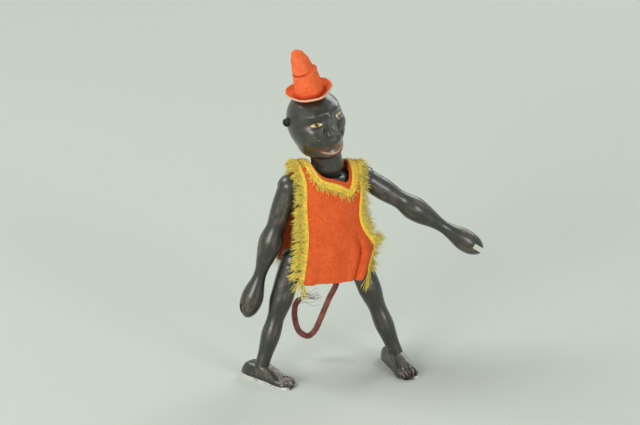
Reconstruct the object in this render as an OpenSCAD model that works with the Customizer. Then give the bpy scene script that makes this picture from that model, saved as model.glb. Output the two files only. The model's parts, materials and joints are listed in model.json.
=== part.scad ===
// Jointed wooden monkey toy: carved and turned pieces strung on elastic, with a felt coat and cap.
// Millimetres. The figure faces -Y, its own left side is +X, and it stands on z = 0.

/* [Torso] */
// Width of the chest
torso_w = 38; // [37.6:0.1:39.6]
// Depth of the chest, front to back
torso_d = 30.6; // [29:0.1:34]
// Width at the waist
waist_w = 26.6; // [24:0.1:29]
// Width at the hips
hip_w = 29; // [27:0.1:31]
// Height of the shoulder line above the hip line
shoulder_rise = 49; // [48:0.1:51]
// Height of the neck ball's centre above the shoulder line
neck_rise = 11.8; // [11.6:0.1:13]
// How far the seat of the torso reaches below the hip line
seat_drop = 9.5; // [8:0.1:11]
// Lean of the torso towards its right side
torso_lean = -2; // [-4:0.5:1]

/* [Head] */
// Width of the skull
head_w = 34.5; // [32:0.5:37]
// Depth of the skull, brow to nape
head_d = 35.5; // [33:0.5:38]
// Height of the skull, chin to crown
head_h = 42.5; // [40:0.5:45]
// Height of the skull's centre above the neck ball's centre
head_lift = 28.5; // [27:0.5:31]
// How far the skull sits behind the neck
head_back = 4.5; // [2:0.5:6]
// Radius of the neck and of the ball at its foot
neck_r = 10; // [9.4:0.1:10.4]
// How far the nose stands out from the face
nose_out = 4.2; // [2:0.2:6]
// How far the jaw and muzzle stand out
jaw_out = 4.4; // [2:0.2:6]
// Height of an ear
ear_h = 6.4; // [5:0.1:8]

/* [Arms] */
// Length from the shoulder ball's centre to the tip of the hand
arm_l = 90; // [86:0.5:92]
// Distance between the two shoulder balls' centres
shoulder_span = 48; // [47.6:0.1:49]
// Radius of the shoulder ball
arm_ball_r = 7; // [6.8:0.1:7.2]
// Radius of the upper arm
biceps_r = 6.7; // [6:0.1:7.2]
// Radius at the elbow's swell
elbow_r = 7.4; // [6.6:0.1:7.8]
// Radius of the wrist
wrist_r = 3.9; // [3.4:0.1:4.6]
// Radius of the hand
hand_r = 6.8; // [6:0.1:7.4]
// Bend of the forearm
arm_bend = 0; // [0:1:12]
// Width of the grip slot sawn into each hand
grip_w = 3; // [2.4:0.1:3.6]
// Depth of the grip slot from the tip of the hand
grip_deep = 8.5; // [6:0.5:10]
// Turn of the left hand's slot about the arm, against the right hand's
grip_turn_left = 84; // [0:1:90]

/* [Legs] */
// Length from the hip ball's centre to the seat of the foot
leg_l = 69; // [66:0.5:71]
// Distance between the two hip balls' centres
hip_span = 40; // [39.6:0.1:42]
// Radius of the hip ball
leg_ball_r = 7.6; // [7.2:0.1:8]
// Radius of the thigh
thigh_r = 7.2; // [6.6:0.1:7.8]
// Radius at the knee
knee_r = 5.3; // [4.8:0.1:6]
// Radius of the calf
calf_r = 5.9; // [5.6:0.1:6.8]
// Radius of the ankle
ankle_r = 4.4; // [4:0.1:4.8]

/* [Feet] */
// Length of a foot
foot_l = 38; // [35:0.5:41]
// Width of a foot across the toes
foot_w = 14; // [12.6:0.1:16]
// Height of a foot at the ankle
foot_h = 10.2; // [9.8:0.1:11.6]
// Height of the toes
toe_h = 4.6; // [4:0.1:5.6]
// Distance from the back of the heel to the ankle's middle
heel_l = 13.8; // [12:0.1:14.6]

/* [Stringing] */
// Diameter of the elastic cord
cord_d = 1.8; // [1.6:0.1:2]
// Diameter of the knot at each end of a cord
knot_d = 3.2; // [3:0.1:3.4]
// Diameter of the wooden plug over a knot
plug_d = 4.6; // [4.2:0.1:5]
// Wood left between a ball's slot and its knot
knot_wall = 0.8; // [0.6:0.1:1]
// Clearance of a cord in its bore, each side
cord_gap = 0.3; // [0.2:0.05:0.4]
// Clearance of a ball in its socket
ball_gap = 0.25; // [0.2:0.05:0.4]
// Clearance of a glued piece in its hole
glue_gap = 0.05; // [0.02:0.01:0.1]

/* [Coat] */
// Thickness of the felt
felt_t = 1.4; // [1:0.1:1.6]
// Gap between the felt and the wood at the front of the chest
coat_gap = 1.3; // [1.1:0.1:1.6]
// Width of the neck hole, side to side
neck_hole_w = 23.4; // [23:0.1:24.4]
// How far the neckline dips forward of the shoulders' ridge
neck_front = 12.6; // [11.8:0.1:12.8]
// How far the neck hole reaches behind the shoulders' ridge
neck_back = 11.7; // [11.4:0.1:12.2]
// How much lower the neckline hangs on the left, as a share
neck_skew = 0.3; // [0:0.02:0.32]
// Height of the shoulders' ridge above the shoulder line, at the neck
ridge_rise = 11.4; // [11:0.1:12.4]
// Rise of the ridge towards the right shoulder, mm for each mm
ridge_tilt = 0.12; // [0.06:0.01:0.16]
// Width of the coat across the shoulders' ridge
coat_shoulder_w = 42.6; // [41:0.1:43]
// Width of the coat across the chest
coat_chest_w = 36.8; // [36:0.1:37.2]
// Width of the coat at the waist
coat_waist_w = 36; // [34:0.1:38]
// Width of the coat at the hem
coat_hem_w = 45; // [42:0.5:48]
// How far the hem hangs below the hip line
hem_drop = 8.6; // [7:0.5:12]
// How far the skirt's left side swings out over the hip
flare_left = 10.5; // [0:0.5:11]
// How far the hem stands out in front of the body's middle plane
hem_out = 21.5; // [20.5:0.1:23]
// Width of the fringe's woven heading
trim_w = 2.6; // [2:0.1:3.2]
// Thickness of the fringe's heading on the felt
trim_t = 1; // [0.6:0.1:1.4]

/* [Cap] */
// Radius of the cap's crown at the brim
cap_r = 8.6; // [8:0.1:9.4]
// Height of the cap above its brim
cap_h = 29.6; // [25:0.5:33]
// Outer radius of the brim
brim_r = 13.9; // [13:0.1:15.4]
// How far the brim turns up
brim_rise = 2.8; // [2:0.1:5]
// Thickness of the cap's felt
cap_t = 1.2; // [1:0.1:1.5]
// Diameter of the cord sewn round the brim's edge
edge_d = 1.1; // [0.8:0.1:1.4]

/* [Tail] */
// Diameter of the wound tail
tail_d = 3.7; // [3.2:0.1:4.2]
// Diameter of the wire inside the tail
tail_wire_d = 1.4; // [1:0.1:1.8]

/* [Pose] */
// Raise of the right arm from hanging
arm_raise_right = 14.5; // [13:0.5:20]
// Backward swing of the right upper arm
arm_swing_right = 4.5; // [0:0.5:8]
// Raise of the left arm from hanging
arm_raise_left = 53.9; // [40:0.1:70]
// Backward swing of the left upper arm
arm_swing_left = -17; // [-20:1:0]
// Outward splay of the right leg from the torso's middle line
leg_splay_right = 15.5; // [12:0.5:18]
// Backward swing of the right leg
leg_swing_right = -2; // [-5:0.5:5]
// Backward swing of the left leg
leg_swing_left = -10.5; // [-14:0.5:0]
// Turn of the right foot towards the left one
foot_turn_right = 31; // [20:1:36]
// Turn of the left foot away from the right one
foot_turn_left = 4; // [-4:1:12]
// Turn of the head towards its left
head_turn = 17; // [0:1:30]
// Lean of the head towards its right, beyond the torso's lean
head_lean = 12; // [0:0.5:14]

/* [Hidden] */
$fn = 64;

wood_black = [0.16, 0.15, 0.13];
wood_bare = [0.62, 0.47, 0.3];
felt_orange = [0.87, 0.36, 0.17];
felt_red = [0.91, 0.4, 0.22];
fringe_yellow = [0.82, 0.72, 0.24];
elastic_grey = [0.75, 0.72, 0.66];
tail_brown = [0.5, 0.25, 0.2];

// Where the middle of the hip line stands over the footprint's middle
stand_x = -22.9;
stand_y = 6.2;

// Plain arithmetic that the shapes share
function ease(u) = let(c = max(0, min(1, u))) c * c * (3 - 2 * c);
function mix(a, b, u) = a + (b - a) * u;
function step_between(a, b, v) = ease((v - a) / (b - a));
function bump(d, w) = exp(-(d * d) / (w * w));
function unit(v) = v / norm(v);

// Value at s of a smooth line through [place, value] stations
function along(st, s, i = 0) =
    s <= st[0][0] ? st[0][1] :
    i >= len(st) - 1 ? st[len(st) - 1][1] :
    s < st[i + 1][0] ?
        mix(st[i][1], st[i + 1][1], ease((s - st[i][0]) / (st[i + 1][0] - st[i][0]))) :
    along(st, s, i + 1);

function spin_x(p, a) = [p.x, p.y * cos(a) - p.z * sin(a), p.y * sin(a) + p.z * cos(a)];
function spin_y(p, a) = [p.x * cos(a) + p.z * sin(a), p.y, p.z * cos(a) - p.x * sin(a)];
function spin_z(p, a) = [p.x * cos(a) - p.y * sin(a), p.x * sin(a) + p.y * cos(a), p.z];

// The stance: each leg's rise from its foot's seat to the hip, and the splay that levels the left sole
seat_z = foot_h - 1;
rise_right = leg_l * (sin(leg_splay_right) * sin(torso_lean)
    + cos(leg_splay_right) * cos(leg_swing_right) * cos(torso_lean));
rise_left = rise_right + hip_span * sin(torso_lean);
level_cos = cos(leg_swing_left) * cos(torso_lean);
level_len = norm([level_cos, sin(torso_lean)]);
leg_splay_left = acos(rise_left / (leg_l * level_len)) - atan2(sin(torso_lean), level_cos);
hip_z = seat_z + (rise_right + rise_left) / 2;
neck_z = shoulder_rise + neck_rise;
shoulder_x = shoulder_span / 2;
hip_x = hip_span / 2;
lean_head = torso_lean + head_lean;

// A point of the torso's own frame, whose origin is the middle of the hip line
function torso_point(p) = spin_y(p, -torso_lean) + [stand_x, stand_y, hip_z];
neck_pivot = torso_point([0, 0, neck_z]);

module torso_place() {
    translate([stand_x, stand_y, hip_z])
        rotate([0, -torso_lean, 0])
            children();
}

module head_place() {
    translate(neck_pivot)
        rotate([0, -lean_head, 0])
            rotate([0, 0, head_turn])
                children();
}

// side is 1 on the figure's left and -1 on its right; a limb is drawn for the left side
module limb_place(side, span_half, height, swing, raise) {
    torso_place()
        translate([side * span_half, 0, height])
            rotate([swing, 0, 0])
                mirror([side < 0 ? 1 : 0, 0, 0])
                    rotate([0, -raise, 0])
                        children();
}

module link_place(side, span_half, height, swing) {
    torso_place()
        translate([side * span_half, 0, height])
            rotate([swing, 0, 0])
                mirror([side < 0 ? 1 : 0, 0, 0])
                    children();
}

module arm_place(side) {
    limb_place(side, shoulder_x, shoulder_rise,
        side > 0 ? arm_swing_left : arm_swing_right,
        side > 0 ? arm_raise_left : arm_raise_right)
        children();
}

module leg_place(side) {
    limb_place(side, hip_x, 0,
        side > 0 ? leg_swing_left : leg_swing_right,
        side > 0 ? leg_splay_left : leg_splay_right)
        children();
}

// Seat of a foot in the room: the point where the leg's end rests
function leg_end(side) =
    let(splay = side > 0 ? leg_splay_left : leg_splay_right)
    let(swing = side > 0 ? leg_swing_left : leg_swing_right)
    torso_point([side * hip_x, 0, 0] + spin_x([side * sin(splay), 0, -cos(splay)] * leg_l, swing));

module foot_place(side) {
    translate([leg_end(side).x, leg_end(side).y, 0])
        rotate([0, 0, side > 0 ? foot_turn_left : foot_turn_right])
            children();
}

// The torso: a turned body, flattened front to back, with a domed top
torso_ratio = torso_d / torso_w;
chest_r = torso_w / 2;
chest_z = shoulder_rise - 4.5;
flat_x = shoulder_x - arm_ball_r + 0.9;
dome_h = 15;
rim_r = neck_r + 3.6;
function dome_z(rho) = chest_z + dome_h * sqrt(max(0, 1 - pow(rho / chest_r, 2)));
torso_stations = [
    [-seat_drop, hip_w / 2 - 6],
    [-seat_drop + 4, hip_w / 2 - 1],
    [1, hip_w / 2],
    [chest_z * 0.45, waist_w / 2],
    [chest_z * 0.8, chest_r - 1.6],
    [chest_z, chest_r]
];
torso_steps = 18;
dome_steps = 8;

module torso_outline() {
    dome_end = asin(rim_r / chest_r);
    polygon(concat(
        [[0, -seat_drop]],
        [for (i = [0:torso_steps])
            let(z = mix(-seat_drop, chest_z, i / torso_steps))
            [along(torso_stations, z), z]],
        [for (i = [1:dome_steps])
            let(a = mix(90, dome_end, i / dome_steps))
            [chest_r * sin(a), chest_z + dome_h * cos(a)]],
        [[0, dome_z(rim_r)]]
    ));
}

cord_bore_r = cord_d / 2 + cord_gap;
cross_bore_r = cord_d + cord_gap + 0.4;
tail_seat = [4, torso_d * 0.3, -5];
tail_y = torso_d / 2 - 0.8;
tail_way = unit([0.55, 0.48, -0.7]);

module torso() {
    color(wood_black)
    torso_place()
    difference() {
        scale([1, torso_ratio, 1])
            rotate_extrude()
                torso_outline();
        for (side = [-1, 1]) {
            translate([side * shoulder_x, 0, shoulder_rise])
                sphere(arm_ball_r + ball_gap);
            translate([side * hip_x, 0, 0])
                sphere(leg_ball_r + ball_gap);
            translate([side * (flat_x + 5), 0, chest_z])
                cube([10, torso_d, 28], center = true);
        }
        translate([0, 0, neck_z])
            sphere(neck_r + ball_gap);
        for (z = [0, shoulder_rise])
            translate([0, 0, z])
                rotate([0, 90, 0])
                    cylinder(r = cord_bore_r, h = torso_w + 4, center = true);
        translate([0, 0, shoulder_rise - cross_bore_r - cord_d])
            cylinder(r = cross_bore_r, h = neck_z);
        translate(tail_seat - tail_way * 5)
            multmatrix(frame_along(tail_way))
                cylinder(d = tail_wire_d + 2 * glue_gap, h = 20);
    }
}

// A frame whose Z runs along a given direction
function frame_along(dir) =
    let(x = unit(cross([0, 1, 0.01], dir)))
    let(y = cross(dir, x))
    [[x.x, y.x, dir.x, 0], [x.y, y.y, dir.y, 0], [x.z, y.z, dir.z, 0], [0, 0, 0, 1]];

// Stringing inside the torso
link_end_gap = 0.95;
module straight_cord(half) {
    rotate([0, 90, 0])
        cylinder(d = cord_d, h = 2 * half, center = true);
}

module shoulder_cord() {
    color(elastic_grey)
    torso_place()
    translate([0, 0, shoulder_rise])
        straight_cord(shoulder_x - arm_ball_r - ball_gap);
}

module hip_cord() {
    color(elastic_grey)
    torso_place()
        straight_cord(hip_x - leg_ball_r - ball_gap);
}

// The neck cord is a thinner one, looped under the shoulder cord; its two legs meet in the neck ball
loop_d = cord_d * 0.62;
loop_r = cord_d / 2 + loop_d / 2 + 0.05;
function loop_leg(side, u) =
    [0, side * mix(loop_r, loop_d / 2 + 0.02, u), shoulder_rise + u * (neck_rise - link_end_gap)];
module neck_cord() {
    color(elastic_grey)
    torso_place()
        tube(concat(
            [for (u = [1, 0.5, 0.1]) loop_leg(1, u)],
            [for (a = [0:15:180]) [0, loop_r * cos(a), shoulder_rise - loop_r * sin(a)]],
            [for (u = [0.1, 0.5, 1]) loop_leg(-1, u)]
        ), loop_d / 2, 12);
}

// Link of elastic between a socket's mouth and the middle of the ball in it
module cord_link(ball_r) {
    translate([-ball_r + 0.1, 0, 0])
        rotate([0, 90, 0])
            cylinder(d = cord_d, h = ball_r - 0.1 - link_end_gap);
}

module arm_link(side) {
    color(elastic_grey)
    link_place(side, shoulder_x, shoulder_rise, side > 0 ? arm_swing_left : arm_swing_right)
        cord_link(arm_ball_r);
}

module leg_link(side) {
    color(elastic_grey)
    link_place(side, hip_x, 0, side > 0 ? leg_swing_left : leg_swing_right)
        cord_link(leg_ball_r);
}

// Bore, slot and knot chamber in a limb's ball; the slot lets the ball tip over the cord
chamber_x = cord_bore_r + knot_wall;
knot_x = chamber_x + knot_d / 2 + 0.1;
function polar(a, r) = [r * cos(a), r * sin(a)];
module ball_cut(ball_r, low, high) {
    reach = ball_r + 3;
    slot_r = cord_bore_r + 0.05;
    rotate([0, 90, 0])
        cylinder(r = cord_bore_r, h = ball_r);
    translate([chamber_x, 0, 0])
        rotate([0, 90, 0])
            cylinder(d = plug_d + 2 * glue_gap, h = ball_r);
    rotate([90, 0, 0])
        linear_extrude(2 * slot_r, center = true)
            polygon(concat(
                [polar(180 - high, reach) + polar(90 - high, slot_r)],
                [for (i = [0:6]) polar(180 - mix(high, low, i / 6), reach)],
                [polar(180 - low, reach) + polar(270 - low, slot_r)],
                [for (i = [0:8]) polar(mix(270 - low, 450 - high, i / 8), slot_r)]
            ));
}

module knotted_end(ball_r) {
    translate([link_end_gap, 0, 0])
        rotate([0, 90, 0])
            cylinder(d = cord_d, h = knot_x);
    translate([knot_x, 0, 0])
        sphere(d = knot_d);
}

module ball_plug(ball_r) {
    intersection() {
        translate([knot_x + knot_d / 2 + 0.1, 0, 0])
            rotate([0, 90, 0])
                cylinder(d = plug_d, h = ball_r);
        sphere(ball_r + 0.2);
    }
}

// Turned limbs: radius along the limb from the ball's centre
limb_step = 1.9;
ball_from = 2.5;
function ball_line(ball_r) =
    let(end = acos(-ball_from / ball_r))
    [for (i = [0:11]) let(a = end * i / 12) [ball_r * sin(a), ball_r * cos(a)]];
function limb_line(st, from, to) =
    let(n = ceil((to - from) / limb_step))
    [for (i = [0:n]) let(s = mix(from, to, i / n)) [along(st, s), -s]];

elbow_s = arm_l * 0.42;
hand_s = arm_l * 0.86;
hand_end = arm_l - hand_s;
arm_stations = [
    [ball_from, sqrt(arm_ball_r * arm_ball_r - ball_from * ball_from)],
    [arm_l * 0.15, biceps_r],
    [arm_l * 0.3, biceps_r - 1],
    [elbow_s, elbow_r],
    [arm_l * 0.67, wrist_r],
    [hand_s, hand_r]
];

module arm(side) {
    color(wood_black)
    arm_place(side)
    difference() {
        union() {
            rotate_extrude()
                polygon(concat(
                    ball_line(arm_ball_r),
                    limb_line(arm_stations, ball_from, elbow_s),
                    [[0, -elbow_s]]
                ));
            translate([0, 0, -elbow_s]) {
                sphere(elbow_r);
                rotate([arm_bend, 0, 0])
                    translate([0, 0, elbow_s])
                        forearm();
            }
        }
        ball_cut(arm_ball_r, 4, 92);
        translate([0, 0, -elbow_s])
            rotate([arm_bend, 0, side > 0 ? grip_turn_left : 0])
                translate([0, 0, elbow_s - arm_l])
                    cube([3 * hand_r, grip_w, 2 * grip_deep], center = true);
    }
}

// Elbow to fingertips, ending in a rounded hand
module forearm() {
    tip_steps = 10;
    rotate_extrude()
        polygon(concat(
            [[0, -elbow_s]],
            limb_line(arm_stations, elbow_s, hand_s),
            [for (i = [1:tip_steps])
                let(a = 90 * i / tip_steps)
                [i < tip_steps ? hand_r * cos(a) : 0, -hand_s - hand_end * sin(a)]]
        ));
}

module arm_cord(side) {
    color(elastic_grey)
    arm_place(side)
        knotted_end(arm_ball_r);
}

module arm_plug(side) {
    color(wood_bare)
    arm_place(side)
        ball_plug(arm_ball_r);
}

leg_stations = [
    [ball_from, sqrt(leg_ball_r * leg_ball_r - ball_from * ball_from)],
    [leg_l * 0.2, thigh_r],
    [leg_l * 0.36, thigh_r - 0.1],
    [leg_l * 0.57, knee_r],
    [leg_l * 0.7, calf_r],
    [leg_l * 0.94, ankle_r],
    [leg_l, ankle_r]
];
tenon_r = ankle_r * 0.5;
tenon_l = 5;

module leg(side) {
    color(wood_black)
    leg_place(side)
    difference() {
        rotate_extrude()
            polygon(concat(
                ball_line(leg_ball_r),
                limb_line(leg_stations, ball_from, leg_l),
                [[tenon_r, -leg_l], [tenon_r, -leg_l - tenon_l], [0, -leg_l - tenon_l]]
            ));
        ball_cut(leg_ball_r, -2, 45);
    }
}

module leg_cord(side) {
    color(elastic_grey)
    leg_place(side)
        knotted_end(leg_ball_r);
}

module leg_plug(side) {
    color(wood_bare)
    leg_place(side)
        ball_plug(leg_ball_r);
}

// Feet: side profile, plan and rounded top, cut for five toes; the ankle's middle is at x = y = 0
toe_y = heel_l - foot_l;
function sole_half(u) =
    foot_w / 2 * along([[0, 0.42], [0.1, 0.72], [0.3, 0.76], [0.55, 0.82], [0.8, 1], [0.93, 0.86], [1, 0.5]], u);

module foot_plan() {
    n = 24;
    polygon(concat(
        [for (i = [0:n]) [sole_half(i / n), heel_l - foot_l * i / n]],
        [for (i = [n:-1:0]) [-sole_half(i / n), heel_l - foot_l * i / n]]
    ));
}

// Drawn with the foot's length along x, heel at +x
module foot_profile() {
    instep = [[-6.5, foot_h - 0.6], [-12, foot_h * 0.74], [-18, foot_h * 0.56], [-22, toe_h + 0.7]];
    polygon(concat(
        [[heel_l, 0], [heel_l - 0.4, 2.2], [heel_l - 2.2, foot_h - 2], [heel_l - 3.6, foot_h - 0.4],
            [0, foot_h]],
        [for (p = instep) [p.x * foot_l / 36.6, p.y]],
        [[toe_y + 1.6, toe_h], [toe_y + 0.4, toe_h * 0.7], [toe_y, toe_h * 0.35], [toe_y + 0.3, 0]]
    ));
}

module foot_arch() {
    side_h = foot_h * 0.52;
    intersection() {
        translate([-foot_w, 0])
            square([2 * foot_w, foot_h + 1]);
        union() {
            translate([0, foot_h - foot_w * 0.62])
                circle(foot_w * 0.66);
            translate([-foot_w, -1])
                square([2 * foot_w, toe_h * 0.8]);
            translate([-foot_w * 0.52, 0])
                square([foot_w * 1.04, side_h]);
        }
    }
}

toes = 5;
module foot(side) {
    color(wood_black)
    difference() {
        foot_place(side)
        difference() {
            intersection() {
                linear_extrude(foot_h + 1)
                    foot_plan();
                rotate([90, 0, 90])
                    linear_extrude(2 * foot_w, center = true)
                        foot_profile();
                translate([0, heel_l + 1, 0])
                    rotate([90, 0, 0])
                        linear_extrude(foot_l + 2)
                            foot_arch();
            }
            for (i = [1:toes - 1])
                translate([foot_w * (i / toes - 0.5) * 0.92, toe_y + 2.6, toe_h + 0.35])
                    rotate([90, 0, (i / toes - 0.5) * 24])
                        cylinder(r = 0.75, h = 9, center = true, $fn = 24);
        }
        leg_place(side) {
            translate([0, 0, -leg_l])
                cylinder(r = ankle_r + glue_gap, h = 12);
            translate([0, 0, -leg_l - tenon_l - 0.3])
                cylinder(r = tenon_r + glue_gap, h = tenon_l + 1);
        }
    }
}

// The head: a skull with brow, eye hollows, nose, muzzle and jaw raised on it by angle
head_mid = [0, head_back, head_lift];
skull = [head_w / 2, head_d / 2, head_h / 2];
crown_flat = 2.6;
face_marks = [
    // [turn, height, amount, spread sideways, spread up]
    [0, 33, 0.6, 46, 9],
    [0, 0, nose_out * 0.8, 6.5, 20],
    [0, -13, nose_out * 0.55, 10, 7],
    [0, -48, jaw_out, 44, 21],
    [0, -36, jaw_out * 0.35, 24, 10],
    [0, -46, -0.8, 26, 2.2],
    [0, -27, -0.6, 16, 5],
    [0, -68, -1.5, 60, 8],
    [0, 90, -crown_flat, 400, 34]
];
paired_marks = [
    [30, 19, -1.7, 13, 8],
    [36, -13, 0.9, 14, 13],
    [15, -17, -1, 5, 12],
    [32, 19, 0.5, 8, 5],
    [125, -62, 2.5, 60, 14]
];

function mark(m, az, el) = m[2] * bump((az - m[0]) * cos(el), m[3]) * bump(el - m[1], m[4]);
function add(v, i = 0) = i < len(v) ? v[i] + add(v, i + 1) : 0;
function face_lift(az, el) =
    add([for (m = face_marks) mark(m, az, el)])
    + add([for (m = paired_marks) mark(m, abs(az), el)]);
function head_point(az, el) =
    let(d = [cos(el) * sin(az), -cos(el) * cos(az), sin(el)])
    let(base = 1 / norm([d.x / skull.x, d.y / skull.y, d.z / skull.z]))
    head_mid + d * (base + face_lift(az, el));

head_turns = 60;
head_rows = 33;
function head_az(j) = -180 + 360 * j / head_turns;
function head_el(i) = -88 + 176 * i / head_rows;

module head_form() {
    n = head_turns;
    points = concat(
        [head_mid - [0, 0, skull.z + 0.2]],
        [for (i = [0:head_rows], j = [0:n - 1]) head_point(head_az(j), head_el(i))],
        [head_mid + [0, 0, skull.z - crown_flat]]
    );
    last = len(points) - 1;
    polyhedron(points, concat(
        [for (j = [0:n - 1]) [0, 1 + j, 1 + (j + 1) % n]],
        [for (i = [0:head_rows - 1], j = [0:n - 1], k = [0, 1])
            let(a = 1 + i * n + j)
            let(b = 1 + i * n + (j + 1) % n)
            k == 0 ? [a, a + n, b + n] : [a, b + n, b]],
        [for (j = [0:n - 1])
            let(r = 1 + head_rows * n)
            [last, r + (j + 1) % n, r + j]]
    ));
}

crown_z = head_lift + skull.z - crown_flat;
crown_knot_z = crown_z - 4.2;
head_cone_h = neck_r + 1;
module head() {
    color(wood_black)
    head_place()
    difference() {
        union() {
            head_form();
            cylinder(r = neck_r - 0.5, h = head_lift - skull.z * 0.55);
            sphere(neck_r);
        }
        cylinder(r = cord_bore_r, h = crown_z);
        sphere(cord_bore_r);
        rotate([180, 0, 0])
            cylinder(r1 = cord_bore_r, r2 = cord_bore_r + head_cone_h * tan(26), h = head_cone_h);
        translate([0, 0, crown_knot_z - knot_d / 2 - 0.1])
            cylinder(d = plug_d + 2 * glue_gap, h = 20);
        for (side = [-1, 1])
            translate(ear_at(side))
                sphere(ear_h / 2 + glue_gap);
    }
}

module head_cord() {
    color(elastic_grey)
    head_place() {
        translate([0, 0, link_end_gap])
            cylinder(d = cord_d, h = crown_knot_z);
        translate([0, 0, crown_knot_z])
            sphere(d = knot_d);
    }
}

module crown_plug() {
    color(wood_bare)
    head_place()
    intersection() {
        translate([0, 0, crown_knot_z + knot_d / 2 + 0.1])
            cylinder(d = plug_d, h = 20);
        translate(head_mid - [0, head_back, 0])
            sphere(skull.z - crown_flat - 0.5);
    }
}

// Ears: a small turned cup, open to the front and outwards, sunk into the side of the head
function ear_at(side) = head_mid + [side * (skull.x * 0.95), head_d * 0.14, head_h * 0.1];
module ear(side) {
    cup = [[0, -0.2], [0.33, -0.18], [0.46, -0.08], [0.495, 0.04], [0.46, 0.14], [0.37, 0.13],
        [0.26, -0.03], [0, -0.06]];
    color(wood_black)
    head_place()
    translate(ear_at(side))
    mirror([side < 0 ? 1 : 0, 0, 0])
        rotate([90, 0, 28])
            rotate_extrude()
                polygon([for (p = cup) p * ear_h]);
}

// The coat: felt laid over the shoulders, pulled up towards the right one, then hanging clear of the body.
// A panel's cut is [how far its skirt swings out, 1 for the front and -1 for the back]
coat_split = 0.3;
front_cut = [flare_left, 1];
back_cut = [-flare_left * 0.4, -1];
function coat_half(t) =
    t < coat_split ? mix(coat_shoulder_w, coat_chest_w, step_between(0, coat_split * 0.7, t)) / 2 :
    mix(mix(coat_chest_w, coat_waist_w, step_between(coat_split, 0.5, t)),
        coat_hem_w, step_between(0.55, 1.1, t)) / 2;
function coat_out(t) = mix(torso_d / 2 + 1.4, hem_out, step_between(0.35, 1, t));
function coat_round(t) = mix(26, 60, step_between(0.4, 1, t));
function hem_z(s) = -hem_drop - 1.2 * s * s + 2.4 * pow(abs(s), 6);

// The felt's top is a dome: this deep at the chest, and this high over it along the ridge
function chest_out(x) = torso_d / 2 + coat_gap - x * x / 52;
function ridge_up(x, way) = shoulder_rise + ridge_rise - chest_z - way * ridge_tilt * x;

// How far the neck hole reaches from the ridge at x
neck_x = 0.5;
function neck_edge(q, way) =
    sqrt(1 - pow(abs(q), 3)) * (way > 0 ? neck_front * (1 + neck_skew * q) : neck_back);
function neck_reach(x, way) =
    let(q = (way * x - neck_x) / (neck_hole_w / 2))
    abs(q) >= 1 ? 0 : neck_edge(q, way);

function coat_mid(s, t, cut) =
    let(x = s * coat_half(t) - cut[1] * 0.6 * (1 - step_between(0, coat_split, t))
        + cut[0] * pow(max(0, s * sign(cut[0])), 2) * bump(t - 0.78, 0.15))
    let(out = chest_out(x))
    let(up = ridge_up(x, cut[1]))
    t < coat_split ?
        let(a = mix(asin(min(0.97, max(0.004, neck_reach(x, cut[1]) / out))), 90, t / coat_split))
        [x, -out * sin(a), chest_z + up * cos(a)] :
    let(u = (t - coat_split) / (1 - coat_split))
    let(hang = coat_out(t) - x * x / (2 * coat_round(t)))
    let(wave = 0.9 * u * u * cos(s * 400) + 1.2 * u * u * bump(abs(s) - 0.72, 0.16))
    [x, -mix(out, hang + wave, ease(u * 2.2)), mix(chest_z, hem_z(s), u)];

function coat_normal(s, t, cut) =
    let(d = 0.004)
    let(ds = coat_mid(min(1, s + d), t, cut) - coat_mid(max(-1, s - d), t, cut))
    let(dt = coat_mid(s, min(1, t + d), cut) - coat_mid(s, max(0, t - d), cut))
    unit(cross(dt, ds));
function coat_point(s, t, off, cut) = coat_mid(s, t, cut) + coat_normal(s, t, cut) * off;

// A closed sheet between two grids of points, rows by columns, the one nearer the body first
module sheet(inner, outer) {
    rows = len(inner);
    cols = len(inner[0]);
    flat = concat([for (r = inner, p = r) p], [for (r = outer, p = r) p]);
    other = rows * cols;
    polyhedron(flat, concat(
        [for (i = [0:rows - 2], j = [0:cols - 2], f = two(i * cols + j, i * cols + j + 1,
            (i + 1) * cols + j + 1, (i + 1) * cols + j)) f],
        [for (i = [0:rows - 2], j = [0:cols - 2], f = two(other + i * cols + j, other + (i + 1) * cols + j,
            other + (i + 1) * cols + j + 1, other + i * cols + j + 1)) f],
        [for (j = [0:cols - 2], f = two(j + 1, j, other + j, other + j + 1)) f],
        [for (j = [0:cols - 2], b = [(rows - 1) * cols + j],
            f = two(b, b + 1, other + b + 1, other + b)) f],
        [for (i = [0:rows - 2], b = [i * cols], f = two(b, b + cols, other + b + cols, other + b)) f],
        [for (i = [0:rows - 2], b = [i * cols + cols - 1],
            f = two(b + cols, b, other + b, other + b + cols)) f]
    ));
}
function two(a, b, c, d) = [[a, c, b], [a, d, c]];

module coat_patch(s0, s1, t0, t1, cols, rows, low, high, cut) {
    grid = [for (off = [low, high])
        [for (i = [0:rows])
            [for (j = [0:cols])
                coat_point(mix(s0, s1, j / cols), mix(t0, t1, i / rows), off, cut)]]];
    sheet(grid[0], grid[1]);
}

module coat_panel(cut) {
    color(felt_orange)
        coat_patch(-1, 1, 0, 1, 28, 22, 0, felt_t, cut);
}

module coat_front() {
    torso_place()
        coat_panel(front_cut);
}

module coat_back() {
    torso_place()
        rotate([0, 0, 180])
            coat_panel(back_cut);
}

module edge_fringe(side, cut) {
    from = 1 - trim_w / (coat_waist_w / 2);
    color(fringe_yellow)
        coat_patch(side * (side > 0 ? from : 1), side * (side > 0 ? 1 : from), 0.02, 1, 2, 30,
            felt_t + 0.1, felt_t + 0.1 + trim_t, cut);
}

module front_fringe(side) {
    torso_place()
        edge_fringe(side, front_cut);
}

module back_fringe(side) {
    torso_place()
        rotate([0, 0, 180])
            edge_fringe(-side, back_cut);
}

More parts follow.
